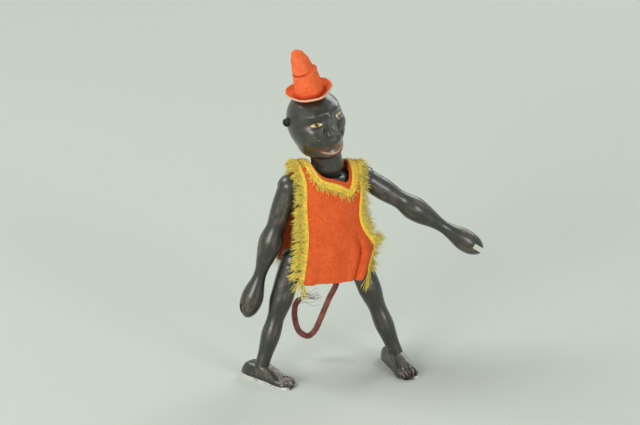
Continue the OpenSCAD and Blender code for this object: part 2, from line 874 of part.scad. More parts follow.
// Fringe round the neck hole, lying on the felt
function collar_point(a, rho, off) =
    let(way = sin(a) < 0 ? 1 : -1)
    let(x = neck_x + (neck_hole_w / 2 + rho) * cos(a))
    let(reach = neck_edge(cos(a), way) + rho * abs(sin(a)))
    let(out = chest_out(x))
    let(up = ridge_up(x, 1))
    let(k = sqrt(1 - pow(min(0.985, reach / out), 2)))
    let(tip_x = ridge_tilt * k + up * pow(reach / out, 2) * x / (26 * out * k))
    let(tip_y = -way * up * reach / (out * out * k))
    [x, -way * reach, chest_z + up * k] + unit([tip_x, tip_y, 1]) * off;
module neck_fringe() {
    n = 60;
    low = felt_t + 0.15;
    rows = [[0.2, low], [1.3, low], [2.4, low], [2.4, low + trim_t], [1.3, low + trim_t], [0.2, low + trim_t]];
    m = len(rows);
    color(fringe_yellow)
    torso_place()
        polyhedron([for (r = rows, j = [0:n - 1]) collar_point(360 * j / n, r[0], r[1])],
            [for (k = [0:m - 1], j = [0:n - 1], f = two(k * n + j, k * n + (j + 1) % n,
                ((k + 1) % m) * n + (j + 1) % n, ((k + 1) % m) * n + j)) f]);
}

// The cap: a leaning cone of felt with a fold pressed across it, on a turned-up brim
cap_seat = [0, head_back + 0.5, crown_z - 0.4];
cap_rows = 15;
cap_sides = 32;
function cap_axis(u) = [-2.2 * u * u, 2.6 * u * u, cap_h * u];
function cap_radius(u, a) =
    let(cone = along([[0, cap_r], [0.28, cap_r * 0.95], [0.5, cap_r * 0.87], [0.75, cap_r * 0.68],
        [0.93, cap_r * 0.44], [1, cap_r * 0.2]], u))
    let(fold = 0.9 * bump(u - 0.36, 0.05) * (0.5 + 0.5 * cos(a - 300)))
    let(dent = 0.7 * bump(u - 0.47, 0.07) * (0.5 + 0.5 * cos(a - 300)))
    cone + fold - dent;
function cap_ring(u, inset) = [for (j = [0:cap_sides - 1])
    let(a = 360 * j / cap_sides)
    cap_axis(u) + (cap_radius(u, a) - inset) * [cos(a), sin(a), 0]];

module cap_crown() {
    n = cap_sides;
    outer = [for (i = [0:cap_rows]) cap_ring(i / cap_rows, 0)];
    inner = [for (i = [0:cap_rows]) [for (p = cap_ring(i / cap_rows * 0.93, cap_t)) p]];
    points = concat([for (r = outer, p = r) p], [for (r = inner, p = r) p],
        [cap_axis(1) + [0, 0, 0.5], cap_axis(0.93) + [0, 0, 0.2]]);
    other = n * (cap_rows + 1);
    top = other - n;
    color(felt_red)
    head_place()
    translate(cap_seat)
    intersection() {
        polyhedron(points, concat(
            [for (i = [0:cap_rows - 1], j = [0:n - 1], f = two(i * n + j, i * n + (j + 1) % n,
                (i + 1) * n + (j + 1) % n, (i + 1) * n + j)) f],
            [for (i = [0:cap_rows - 1], j = [0:n - 1], f = two(other + i * n + j,
                other + (i + 1) * n + j, other + (i + 1) * n + (j + 1) % n,
                other + i * n + (j + 1) % n)) f],
            [for (j = [0:n - 1]) [len(points) - 2, top + (j + 1) % n, top + j]],
            [for (j = [0:n - 1]) [len(points) - 1, other + top + j, other + top + (j + 1) % n]],
            [for (j = [0:n - 1], f = two(j, other + j, other + (j + 1) % n, (j + 1) % n)) f]
        ));
        translate([-20, -20, 0])
            cube([40, 40, 60]);
    }
}

function brim_curve(u) = [mix(cap_r + 0.1, brim_r, u), brim_rise * u * u];
module cap_brim() {
    n = 10;
    color(felt_red)
    head_place()
    translate(cap_seat)
        rotate_extrude()
            polygon(concat(
                [for (i = [0:n]) brim_curve(i / n)],
                [for (i = [n:-1:0]) brim_curve(i / n) - [0, cap_t]]
            ));
}

module cap_edge_cord() {
    color([0.86, 0.78, 0.6])
    head_place()
    translate(cap_seat)
        rotate_extrude()
            translate([brim_r + edge_d / 2 + 0.02, brim_rise - cap_t / 2])
                circle(d = edge_d, $fn = 24);
}

// The tail: wound wire, bent by hand; points in the torso's frame turned upright
tail_route = [
    tail_seat - tail_way * 4,
    tail_seat,
    [12, tail_y - 0.5, -14.2],
    [14.4, tail_y, -25.1],
    [9.7, tail_y, -36],
    [4.6, tail_y, -48.9],
    [1.1, tail_y, -56.2],
    [-3.3, tail_y, -59],
    [-9, tail_y, -54.9],
    [-11.9, tail_y, -46.5],
    [-12.1, tail_y, -38],
    [-9.6, tail_y, -33.8]
];
tail_per_span = 4;
function spline(p, i, u) =
    let(a = p[max(0, i - 1)])
    let(b = p[i])
    let(c = p[i + 1])
    let(d = p[min(len(p) - 1, i + 2)])
    0.5 * (2 * b + (c - a) * u + (2 * a - 5 * b + 4 * c - d) * u * u
        + (3 * b - a - 3 * c + d) * u * u * u);
function tail_points(from) = concat(
    [for (i = [from:len(tail_route) - 2], k = [0:tail_per_span - 1])
        spline(tail_route, i, k / tail_per_span)],
    [tail_route[len(tail_route) - 1]]);
function tube_ring(p, i, r, n) =
    let(way = unit(p[min(i + 1, len(p) - 1)] - p[max(i - 1, 0)]))
    let(m = frame_along(way))
    [for (j = [0:n - 1])
        let(a = 360 * j / n)
        p[i] + r * cos(a) * [m[0][0], m[1][0], m[2][0]] + r * sin(a) * [m[0][1], m[1][1], m[2][1]]];

module tube(p, r, n) {
    last = (len(p) - 1) * n;
    polyhedron([for (i = [0:len(p) - 1], q = tube_ring(p, i, r, n)) q], concat(
        [[for (j = [0:n - 1]) j]],
        [for (i = [0:len(p) - 2], j = [0:n - 1], f = two(i * n + j, i * n + (j + 1) % n,
            (i + 1) * n + (j + 1) % n, (i + 1) * n + j)) f],
        [[for (j = [n - 1:-1:0]) last + j]]
    ));
}

module tail_wire() {
    color([0.45, 0.42, 0.4])
    torso_place()
        tube(tail_points(0), tail_wire_d / 2, 6);
}

module tail_cover() {
    color(tail_brown)
    torso_place()
    difference() {
        tube([for (p = tail_points(2)) p], tail_d / 2, 8);
        tube(tail_points(1), tail_wire_d / 2 + glue_gap, 6);
    }
}

torso();
shoulder_cord();
hip_cord();
neck_cord();
coat_front();
coat_back();
neck_fringe();
front_fringe(-1);  // front_fringe_right
front_fringe(1);  // front_fringe_left
back_fringe(-1);  // back_fringe_right
back_fringe(1);  // back_fringe_left
tail_wire();
tail_cover();
head();
ear(-1);  // ear_right
ear(1);  // ear_left
head_cord();
crown_plug();
cap_crown();
cap_brim();
cap_edge_cord();
arm_link(-1);  // arm_link_right
arm(-1);  // arm_right
arm_cord(-1);  // arm_cord_right
arm_plug(-1);  // arm_plug_right
arm_link(1);  // arm_link_left
arm(1);  // arm_left
arm_cord(1);  // arm_cord_left
arm_plug(1);  // arm_plug_left
leg_link(-1);  // leg_link_right
leg(-1);  // leg_right
foot(-1);  // foot_right
leg_cord(-1);  // leg_cord_right
leg_plug(-1);  // leg_plug_right
leg_link(1);  // leg_link_left
leg(1);  // leg_left
foot(1);  // foot_left
leg_cord(1);  // leg_cord_left
leg_plug(1);  // leg_plug_left
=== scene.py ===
import json
import math
import random
import bpy
from mathutils import Matrix, Vector, noise


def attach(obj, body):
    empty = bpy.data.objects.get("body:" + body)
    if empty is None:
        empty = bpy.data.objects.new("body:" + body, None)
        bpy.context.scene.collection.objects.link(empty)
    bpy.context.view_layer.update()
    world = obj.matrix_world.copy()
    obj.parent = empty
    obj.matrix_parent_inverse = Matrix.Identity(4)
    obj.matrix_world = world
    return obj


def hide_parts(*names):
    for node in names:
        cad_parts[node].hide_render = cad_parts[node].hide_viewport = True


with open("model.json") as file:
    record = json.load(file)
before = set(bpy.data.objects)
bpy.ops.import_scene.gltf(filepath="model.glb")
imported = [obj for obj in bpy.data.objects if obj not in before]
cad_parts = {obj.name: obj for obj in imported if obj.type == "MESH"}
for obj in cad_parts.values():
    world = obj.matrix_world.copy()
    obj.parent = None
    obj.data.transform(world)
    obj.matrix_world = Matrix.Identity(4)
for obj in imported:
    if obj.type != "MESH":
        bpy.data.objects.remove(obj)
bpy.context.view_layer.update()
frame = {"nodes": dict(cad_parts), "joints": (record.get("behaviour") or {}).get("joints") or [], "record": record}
joints = {j["name"]: j for j in frame["joints"]}
mm = 0.001
print("frame loaded,", len(frame["nodes"]), "nodes")

# the standing pose, in degrees, the same as the part's own
pose = {
    "torsoLean": -2, "headLean": 12, "headTurn": 17,
    "armRaise": {"right": 14.5, "left": 53.9}, "armSwing": {"right": 4.5, "left": -17},
    "legSplay": {"right": 15.5, "left": 20.45}, "legSwing": {"right": -2, "left": -10.5},
    "footTurn": {"right": 31, "left": 4},
}
sideSign = {"right": -1, "left": 1}


# plain arithmetic for shapes
def ease(u):
    u = max(0.0, min(1.0, u))
    return u * u * (3 - 2 * u)


def between(a, b, v):
    return ease((v - a) / (b - a))


def mix(a, b, u):
    return a + (b - a) * u


def bump(d, w):
    return math.exp(-(d * d) / (w * w))


def along(stations, s):
    if s <= stations[0][0]:
        return stations[0][1]
    for (s0, r0), (s1, r1) in zip(stations, stations[1:]):
        if s < s1:
            return mix(r0, r1, ease((s - s0) / (s1 - s0)))
    return stations[-1][1]


def evenAlong(stations, s, soft):
    # straight runs between the stations, rounded off where they meet
    total = 0
    for k in range(-3, 4):
        v = min(1, max(0, s + k * soft / 3))
        for (s0, r0), (s1, r1) in zip(stations, stations[1:]):
            if s0 <= v <= s1:
                total += mix(r0, r1, (v - s0) / (s1 - s0))
                break
    return total / 7


def around(count):
    # the angles of points spaced evenly round a circle
    return [2 * math.pi * j / count for j in range(count)]


def wobble(p, size, seed=0.0):
    x, y, z = p[0] / size + seed, p[1] / size - seed, p[2] / size + 2 * seed
    return noise.noise(Vector((x, y, z)))


def turn(axis, degrees):
    return Matrix.Rotation(math.radians(degrees), 4, axis)


# where the pieces stand
def pivot(joint):
    return Vector(joints[joint]["pos_m"])


hipMiddle = (pivot("hip_swing_right") + pivot("hip_swing_left")) / 2
torsoPlace = Matrix.Translation(hipMiddle) @ turn("Y", -pose["torsoLean"])
neckPlace = (Matrix.Translation(pivot("head_turn"))
             @ turn("Y", -pose["torsoLean"] - pose["headLean"])
             @ turn("Z", pose["headTurn"]))


def limbPlace(joint, side, swing, raised):
    return (Matrix.Translation(pivot(joint)) @ turn("Y", -pose["torsoLean"]) @ turn("X", swing)
            @ turn("Y", -sideSign[side] * raised))


def armPlace(side):
    return limbPlace("shoulder_raise_" + side, side, pose["armSwing"][side], pose["armRaise"][side])


def legPlace(side):
    return limbPlace("hip_splay_" + side, side, pose["legSwing"][side], pose["legSplay"][side])


# the camera: far off, with a long lens
camera = {"azimuth": -20, "elevation": 24, "distance": 6.0, "target": (-0.0256, 0.0058, 0.1035),
          "pxPerMm": 1.655, "photoWidth": 640, "sensor": 36, "clip": (0.05, 60)}


def makeCamera():
    a, e = math.radians(camera["azimuth"]), math.radians(camera["elevation"])
    back = Vector((math.sin(a) * math.cos(e), -math.cos(a) * math.cos(e), math.sin(e)))
    data = bpy.data.cameras.new("camera")
    data.sensor_width = camera["sensor"]
    pxPerMetre = camera["pxPerMm"] * 1000
    data.lens = pxPerMetre * camera["distance"] * camera["sensor"] / camera["photoWidth"]
    data.clip_start, data.clip_end = camera["clip"]
    eye = bpy.data.objects.new("camera", data)
    bpy.context.scene.collection.objects.link(eye)
    eye.rotation_mode = "QUATERNION"
    eye.location = Vector(camera["target"]) + back * camera["distance"]
    eye.rotation_quaternion = (-back).to_track_quat("-Z", "Y")
    bpy.context.scene.camera = eye


# shader maths
class Wire:
    def __init__(self, nodes, socket):
        self.nodes, self.socket = nodes, socket

    def maths(self, operation, *values):
        return self.nodes.node("ShaderNodeMath", {"operation": operation}, dict(enumerate(values)))

    def __add__(self, other):
        return self.maths("ADD", self, other)

    def __radd__(self, other):
        return self.maths("ADD", other, self)

    def __sub__(self, other):
        return self.maths("SUBTRACT", self, other)

    def __rsub__(self, other):
        return self.maths("SUBTRACT", other, self)

    def __mul__(self, other):
        return self.maths("MULTIPLY", self, other)

    def __rmul__(self, other):
        return self.maths("MULTIPLY", other, self)

    def __truediv__(self, other):
        return self.maths("DIVIDE", self, other)

    def __rtruediv__(self, other):
        return self.maths("DIVIDE", other, self)

    def __pow__(self, other):
        return self.maths("POWER", self, other)

    def __rpow__(self, other):
        return self.maths("POWER", other, self)

    def __abs__(self):
        return self.maths("ABSOLUTE", self)


class Nodes:
    # a tree whose nodes are all made one way: settings first, then sockets' values or links
    def __init__(self, tree):
        self.tree = tree
        tree.nodes.clear()

    def node(self, kind, settings=None, inputs=None, out=0):
        made = self.tree.nodes.new(kind)
        for key, value in (settings or {}).items():
            if key == "stops":
                ramp = made.color_ramp
                while len(ramp.elements) < len(value):
                    ramp.elements.new(0.5)
                for element, (place, tone) in zip(ramp.elements, value):
                    element.position, element.color = place, (*tone, 1)
            else:
                setattr(made, key, value)
        for key, value in (inputs or {}).items():
            socket = made.inputs[key]
            if isinstance(value, Wire):
                self.tree.links.new(value.socket, socket)
            elif value is not None:
                socket.default_value = value
        return Wire(self, made.outputs[out]) if made.outputs else made

    def raysSeen(self):
        # the rays that show the backdrop: the camera's, and those off gloss or through glass
        outputs = self.node("ShaderNodeLightPath").socket.node.outputs
        seen = Wire(self, outputs["Is Camera Ray"])
        for kind in ("Is Glossy Ray", "Is Transmission Ray"):
            seen = seen.maths("MAXIMUM", seen, Wire(self, outputs[kind]))
        return seen


class Finish(Nodes):
    def __init__(self, name, **constants):
        self.material = bpy.data.materials.new(name)
        self.material.use_nodes = True
        super().__init__(self.material.node_tree)
        inputs = {socket.replace("_", " "): value for socket, value in constants.items()}
        surface = self.node("ShaderNodeBsdfPrincipled", inputs=inputs)
        self.shader = surface.socket.node
        self.output = self.node("ShaderNodeOutputMaterial", inputs={0: surface})

    def feed(self, socket, wire):
        self.tree.links.new(wire.socket, self.shader.inputs[socket])

    def place(self, scale=(1, 1, 1), shift=(0, 0, 0)):
        spot = self.node("ShaderNodeTexCoord", out=3)
        if scale == (1, 1, 1) and shift == (0, 0, 0):
            return spot
        inputs = {"Vector": spot, "Scale": scale, "Location": shift}
        return self.node("ShaderNodeMapping", inputs=inputs)

    def axes(self):
        # x, y and z on the piece
        outputs = self.node("ShaderNodeSeparateXYZ", inputs={0: self.place()}).socket.node.outputs
        return [Wire(self, outputs[k]) for k in range(3)]

    def grain(self, size, detail=3, rough=0.55, scale=(1, 1, 1), shift=(0, 0, 0), distort=0.0):
        # size is in millimetres
        return self.node("ShaderNodeTexNoise", inputs={
            "Vector": self.place(scale, shift), "Scale": 1 / (size * mm), "Detail": detail,
            "Roughness": rough, "Distortion": distort})

    def ramp(self, wire, low, high, start=0.0, end=1.0):
        return self.node("ShaderNodeMapRange", {"interpolation_type": "SMOOTHSTEP"}, {
            "Value": wire, "From Min": low, "From Max": high, "To Min": start, "To Max": end})

    def fade(self, wire, none, full):
        # 0 at none millimetres and 1 at full
        return self.ramp(wire, none * mm, full * mm)

    def blend(self, amount, a, b):
        # each of a and b is a colour or a wire; the mix node has them on its sockets 6 and 7
        a, b = [(*v, 1) if isinstance(v, tuple) else v for v in (a, b)]
        return self.node("ShaderNodeMix", {"data_type": "RGBA"}, {0: amount, 6: a, 7: b}, out=2)

    def painted(self):
        # the colour laid on so far
        return Wire(self, self.shader.inputs["Base Color"].links[0].from_socket)

    def relief(self, height, depth, strength, under=None):
        return self.node("ShaderNodeBump", inputs={
            "Height": height, "Distance": depth, "Strength": strength, "Normal": under})


# making pieces; sharp is the angle in degrees from which an edge isn't smoothed
def addMesh(name, points, faces, place=None, sharp=None):
    mesh = bpy.data.meshes.new(name)
    mesh.from_pydata([tuple(p) for p in points], [], faces)
    mesh.validate()
    mesh.update()
    mesh.polygons.foreach_set("use_smooth", [True] * len(mesh.polygons))
    if sharp:
        mesh.set_sharp_from_angle(angle=math.radians(sharp))
    piece = bpy.data.objects.new(name, mesh)
    bpy.context.scene.collection.objects.link(piece)
    if place is not None:
        piece.matrix_world = place
    return piece


def finishPiece(piece, body, finish, stands=()):
    if not piece.data.materials:
        piece.data.materials.append(finish.material)
    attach(piece, body)
    if stands:
        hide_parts(*stands)
    return piece


def rings(loops, startCap=True, endCap=True, flip=False, shut=False):
    # closed loops of equal length joined into a skin, with a middle point in each end,
    # or with the last loop joined to the first where it is shut
    n = len(loops[0])
    points = [p for loop in loops for p in loop]
    faces = []
    for i in range(len(loops) if shut else len(loops) - 1):
        up = ((i + 1) % len(loops) - i) * n
        for j in range(n):
            a, b = i * n + j, i * n + (j + 1) % n
            faces.append((a, b, b + up, a + up))
    ends = [(startCap, loops[0], 0, False), (endCap, loops[-1], (len(loops) - 1) * n, True)]
    for cap, loop, base, forward in ends:
        if cap:
            middle = sum((Vector(p) for p in loop), Vector()) / n
            points.append(middle)
            for j in range(n):
                a, b = base + j, base + (j + 1) % n
                faces.append((a, b, len(points) - 1) if forward else (b, a, len(points) - 1))
    if flip:
        faces = [tuple(reversed(f)) for f in faces]
    return points, faces


def sheetFaces(rows, cols, offset=0, flip=False):
    faces = []
    for i in range(rows - 1):
        for j in range(cols - 1):
            a = offset + i * cols + j
            face = (a, a + cols, a + cols + 1, a + 1)
            faces.append(tuple(reversed(face)) if flip else face)
    return faces


def thickSheet(outer, inner):
    # two grids of points, the outside first, closed round their edges
    rows, cols = len(outer), len(outer[0])
    points = [p for row in outer for p in row] + [p for row in inner for p in row]
    other = rows * cols
    faces = sheetFaces(rows, cols) + sheetFaces(rows, cols, other, True)
    for j in range(cols - 1):
        faces.append((j, j + 1, other + j + 1, other + j))
        b = (rows - 1) * cols + j
        faces.append((b + 1, b, other + b, other + b + 1))
    for i in range(rows - 1):
        b = i * cols
        faces.append((b + cols, b, other + b, other + b + cols))
        b += cols - 1
        faces.append((b, b + cols, other + b + cols, other + b))
    return points, faces


def carve(piece, cutters, sharp=38):
    for cutter in cutters:
        step = piece.modifiers.new("carve", "BOOLEAN")
        step.operation, step.solver, step.object = "DIFFERENCE", "EXACT", cutter
        bpy.context.view_layer.update()
        graph = bpy.context.evaluated_depsgraph_get()
        carved = bpy.data.meshes.new_from_object(piece.evaluated_get(graph))
        piece.modifiers.clear()
        old = piece.data
        piece.data = carved
        bpy.data.meshes.remove(old)
    for cutter in cutters:
        bpy.data.objects.remove(cutter)
    piece.data.polygons.foreach_set("use_smooth", [True] * len(piece.data.polygons))
    piece.data.set_sharp_from_angle(angle=math.radians(sharp))
    return piece


def ballCutter(centre, radius, place):
    loops = []
    for i in range(1, 24):
        a = math.pi * i / 24
        loops.append([(centre[0] + radius * math.sin(a) * math.cos(b),
                       centre[1] + radius * math.sin(a) * math.sin(b),
                       centre[2] + radius * math.cos(a)) for b in around(48)])
    return addMesh("cutter", *rings(loops, flip=True), place=place)


def rodCutter(start, end, radius, place):
    way = (Vector(end) - Vector(start)).normalized()
    side = way.orthogonal().normalized()
    other = way.cross(side)
    loops = [[Vector(p) + radius * (side * math.cos(a) + other * math.sin(a)) for a in around(24)]
             for p in (start, end)]
    return addMesh("cutter", *rings(loops), place=place)


def boxCutter(low, high, place):
    corners = [(x, y, z) for z in (low[2], high[2]) for y in (low[1], high[1])
               for x in (low[0], high[0])]
    faces = [(0, 2, 3, 1), (4, 5, 7, 6), (0, 1, 5, 4), (2, 6, 7, 3), (0, 4, 6, 2), (1, 3, 7, 5)]
    return addMesh("cutter", corners, faces, place=place)


def tube(route, radius, sides):
    # loops round a route; radius is a function of (place along, angle)
    route = [Vector(p) for p in route]
    loops, side = [], None
    for i, p in enumerate(route):
        way = (route[min(i + 1, len(route) - 1)] - route[max(i - 1, 0)]).normalized()
        side = way.orthogonal() if side is None else side
        side = (side - way * side.dot(way)).normalized()
        other = way.cross(side)
        u = i / (len(route) - 1)
        loops.append([p + radius(u, a) * (side * math.cos(a) + other * math.sin(a))
                      for a in around(sides)])
    return loops


def spline(route, each):
    points = []
    route = [Vector(p) for p in route]
    for i in range(len(route) - 1):
        a, b = route[max(0, i - 1)], route[i]
        c, d = route[i + 1], route[min(len(route) - 1, i + 2)]
        for k in range(each):
            u = k / each
            points.append(0.5 * (2 * b + (c - a) * u + (2 * a - 5 * b + 4 * c - d) * u * u
                                 + (3 * b - a - 3 * c + d) * u * u * u))
    return points + [route[-1]]


# finishes
def blackWood(name, wear, bands=()):
    # glossy, nearly black paint over carved wood, rubbed to brown where it is handled;
    # each band is a height in millimetres, half its width, and how far it is rubbed
    look = Finish(name, Coat_Roughness=0.2, Coat_IOR=1.42, Specular_IOR_Level=0.5)
    long = look.grain(2.2, 5, 0.6, scale=(1, 1, 0.18))
    broad = look.grain(9, 3, 0.5, shift=(0.3, 0.1, 0.7))
    fine = look.grain(0.5, 2, 0.6, scale=(1, 1, 0.3))
    rubbed = look.ramp(broad * 0.7 + long * 0.45, 0.60, 0.78)
    scuffs = look.ramp(look.grain(3.2, 6, 0.7, shift=(2, 0, 1)), 0.6, 0.72)
    z = look.axes()[2]
    for middle, width, amount in bands:
        near = look.ramp(abs(z - middle * mm) / (width * mm), 1.0, 0.0, 0.0, amount)
        rubbed = rubbed + near * look.ramp(long, 0.35, 0.7)
    rubbed = look.node("ShaderNodeClamp", inputs={0: rubbed * wear})
    paint = look.blend(long, (0.004, 0.0045, 0.0025), (0.024, 0.0235, 0.015))
    worn = look.blend(look.ramp(fine, 0.3, 0.7), (0.070, 0.050, 0.034), (0.15, 0.112, 0.078))
    tone = look.blend(rubbed, paint, worn)
    tone = look.blend(scuffs * 0.25, tone, (0.11, 0.10, 0.085))
    look.feed("Base Color", tone)
    look.feed("Roughness", look.ramp(broad, 0.3, 0.75, 0.40, 0.52) + rubbed * 0.1)
    look.feed("Coat Weight", 0.9 - rubbed * 0.5)
    shape = look.relief(long, 0.00022, 0.5)
    look.feed("Normal", look.relief(fine, 0.00006, 0.5, shape))
    return look


def feltCloth(name, base, light, dark, deep):
    look = Finish(name, Roughness=0.92, Sheen_Weight=0.35, Sheen_Roughness=0.5,
                  Sheen_Tint=(*light, 1), Specular_IOR_Level=0.15)
    fibre = look.grain(0.55, 4, 0.7, distort=1.2)
    matted = look.grain(1.9, 4, 0.6, shift=(1, 2, 3), distort=0.6)
    cloud = look.grain(11, 2, 0.5, shift=(4, 1, 2))
    tone = look.blend(look.ramp(matted, 0.32, 0.68), dark, base)
    tone = look.blend(look.ramp(fibre, 0.45, 0.75) * 0.7, tone, light)
    tone = look.blend(look.ramp(cloud, 0.42, 0.7) * 0.3, tone, deep)
    look.feed("Base Color", tone)
    shape = look.relief(matted, 0.0007, 0.6)
    look.feed("Normal", look.relief(fibre, 0.0004, 0.7, shape))
    return look


def fringeYarn(name, colours, size):
    look = Finish(name, Roughness=0.8, Sheen_Weight=0.3, Specular_IOR_Level=0.2)
    patch = look.grain(size, 3, 0.6)
    strand = look.grain(0.4, 2, 0.6, shift=(3, 3, 0))
    stops = list(zip((0.30, 0.45, 0.58, 0.72), colours))
    tone = look.node("ShaderNodeValToRGB", {"stops": stops}, {0: patch})
    tone = look.blend(look.ramp(strand, 0.35, 0.7) * 0.5, tone, colours[4])
    look.feed("Base Color", tone)
    look.feed("Normal", look.relief(strand, 0.0002, 0.6))
    return look


def threadWinding(name):
    look = Finish(name, Roughness=0.6, Sheen_Weight=0.15)
    patch = look.grain(3.5, 4, 0.6)
    fine = look.grain(0.45, 3, 0.6, shift=(1, 0, 2))
    tone = look.blend(look.ramp(patch, 0.3, 0.7), (0.10, 0.017, 0.012), (0.25, 0.062, 0.038))
    tone = look.blend(look.ramp(fine, 0.55, 0.72) * 0.5, tone, (0.45, 0.27, 0.21))
    look.feed("Base Color", tone)
    look.feed("Roughness", look.ramp(fine, 0.3, 0.7, 0.45, 0.75))
    look.feed("Normal", look.relief(fine, 0.00015, 0.7))
    return look


def plainThread(name, tone, other):
    look = Finish(name, Roughness=0.75, Sheen_Weight=0.2)
    weave = look.node("ShaderNodeTexWave", {"wave_type": "BANDS", "bands_direction": "DIAGONAL"},
                      {"Vector": look.place(), "Scale": 900, "Distortion": 2.0, "Detail": 2})
    look.feed("Base Color", look.blend(weave, tone, other))
    look.feed("Normal", look.relief(weave, 0.00015, 0.6))
    return look


def bareWood(name):
    look = Finish(name, Roughness=0.6)
    ring = look.node("ShaderNodeTexWave", {"wave_type": "RINGS", "rings_direction": "X"},
                     {"Vector": look.place(), "Scale": 260, "Distortion": 4, "Detail": 3})
    stain = look.ramp(look.grain(2, 4), 0.4, 0.6)
    tone = look.blend(ring, (0.10, 0.06, 0.035), (0.19, 0.12, 0.07))
    look.feed("Base Color", look.blend(stain, tone, (0.04, 0.032, 0.026)))
    look.feed("Normal", look.relief(ring, 0.0001, 0.4))
    return look


def dullSteel(name):
    look = Finish(name, Metallic=1.0, Roughness=0.4)
    drawn = look.grain(0.6, 3, scale=(1, 1, 0.1))
    look.feed("Base Color", look.blend(drawn, (0.25, 0.23, 0.21), (0.42, 0.40, 0.38)))
    look.feed("Roughness", look.ramp(drawn, 0.2, 0.8, 0.3, 0.55))
    return look


armWood = blackWood("blackWoodArm", 0.75, ((-37, 6, 0.9), (-75, 9, 1.0), (-88, 4, 0.8)))
legWood = blackWood("blackWoodLeg", 0.75, ((-44, 7, 0.35),))
bodyWood = blackWood("blackWoodBody", 0.5)
# felt: its own colour, raised fibres, hollows, and the deepest clouds
coatShades = ((0.75, 0.114, 0.024), (0.90, 0.26, 0.10), (0.64, 0.080, 0.017), (0.56, 0.056, 0.012))
capShades = ((0.87, 0.165, 0.048), (0.95, 0.33, 0.15), (0.80, 0.120, 0.030), (0.70, 0.080, 0.018))
coatFelt = feltCloth("orangeFelt", *coatShades)
capFelt = feltCloth("redFelt", *capShades)
# yarn: four colours in patches, and that of single strands
woolColours = ((0.70, 0.66, 0.07), (0.88, 0.72, 0.09), (0.95, 0.68, 0.07), (0.92, 0.50, 0.04),
               (0.82, 0.76, 0.16))
braidColours = ((0.84, 0.60, 0.05), (0.93, 0.52, 0.03), (0.94, 0.60, 0.05), (0.86, 0.36, 0.02),
                (0.95, 0.70, 0.14))
fringeWool = fringeYarn("fringeWool", woolColours, 2.2)
headingBraid = fringeYarn("headingBraid", braidColours, 1.6)
tailWinding = threadWinding("tailWinding")
elasticCover = plainThread("elasticCover", (0.32, 0.28, 0.21), (0.50, 0.46, 0.37))
edgeCord = plainThread("edgeCord", (0.60, 0.36, 0.20), (0.78, 0.58, 0.38))
looseThread = plainThread("looseThread", (0.03, 0.02, 0.016), (0.10, 0.065, 0.045))
plugWood = bareWood("plugWood")
wireSteel = dullSteel("wireSteel")
print("finishes made")

# the limbs, turned and then trimmed by hand
limb = {"sides": 48, "ballEnd": 2.5, "step": 0.9, "carvedFrom": 4, "knife": ((0.16, 6), (0.05, 2))}
arm = {"length": 90, "ball": 7, "biceps": 6.7, "elbow": 7.4, "wrist": 3.9, "hand": 6.8,
       "elbowAt": 0.42, "handAt": 0.86, "handPart": 0.14, "bend": 0, "slot": (2, 95),
       "gripWidth": 3, "gripDepth": 8.5, "gripTurn": {"right": 0, "left": 84},
       "seed": {"right": 3.1, "left": 7.7}}
leg = {"length": 69, "ball": 7.6, "thigh": 7.2, "knee": 5.3, "calf": 5.9, "ankle": 4.4,
       "intoFoot": 1.5, "slot": (-2, 45), "seed": {"right": 1.3, "left": 5.9}}
# the elastic's bore and its slot by their radius, the wall to the knot, the plug across
stringing = {"boreRadius": 1.2, "wall": 0.8, "plug": 4.7, "slot": 1.4}


def ballFoot(ball):
    # where a limb leaves its ball, and its radius there
    return limb["ballEnd"], math.sqrt(ball ** 2 - limb["ballEnd"] ** 2)


def limbLoops(profile, centre, ball, tip, mirror, seed):
    # loops from the top of the ball down to the end
    stations = []
    for i in range(1, 12):
        a = math.acos(-limb["ballEnd"] / ball) * i / 12
        stations.append((-ball * math.cos(a), ball * math.sin(a)))
    s = limb["ballEnd"]
    while s < tip:
        stations.append((s, profile(s)))
        s += limb["step"]
    stations.append((tip, profile(tip)))
    loops = []
    for s, r in stations:
        middle, tilt = centre(s)
        loop = []
        for a in around(limb["sides"]):
            p = tilt @ Vector((r * math.cos(a), r * math.sin(a), 0))
            cut = 0
            if s >= limb["carvedFrom"]:
                cut = sum(deep * wobble((p.x, p.y, s), wide, seed) for deep, wide in limb["knife"])
            p = p * (1 + cut / max(r, 1)) + middle
            loop.append((p.x * mirror * mm, p.y * mm, p.z * mm))
        loops.append(loop)
    return loops


def ballCutters(ball, low, high, mirror, place):
    # the slot sawn from low to high degrees, the cord's bore, and the chamber of its knot
    reach, slot = ball + 3, stringing["slot"]

    def polar(a, r):
        return Vector((mirror * r * math.cos(math.radians(a)), r * math.sin(math.radians(a))))
    outline = [polar(180 - high, reach) + polar(90 - high, slot)]
    outline += [polar(180 - mix(high, low, i / 6), reach) for i in range(7)]
    outline += [polar(180 - low, reach) + polar(270 - low, slot)]
    outline += [polar(mix(270 - low, 450 - high, i / 8), slot) for i in range(9)]
    loops = [[(p[0] * mm, y * mm, p[1] * mm) for p in outline] for y in (-slot, slot)]
    sawn = addMesh("cutter", *rings(loops, flip=mirror < 0), place=place)
    bore = rodCutter((0, 0, 0), (mirror * ball * mm, 0, 0), stringing["boreRadius"] * mm, place)
    start = mirror * (stringing["boreRadius"] + stringing["wall"]) * mm
    chamber = rodCutter((start, 0, 0), (mirror * 2 * ball * mm, 0, 0), stringing["plug"] / 2 * mm,
                        place)
    return [sawn, bore, chamber]


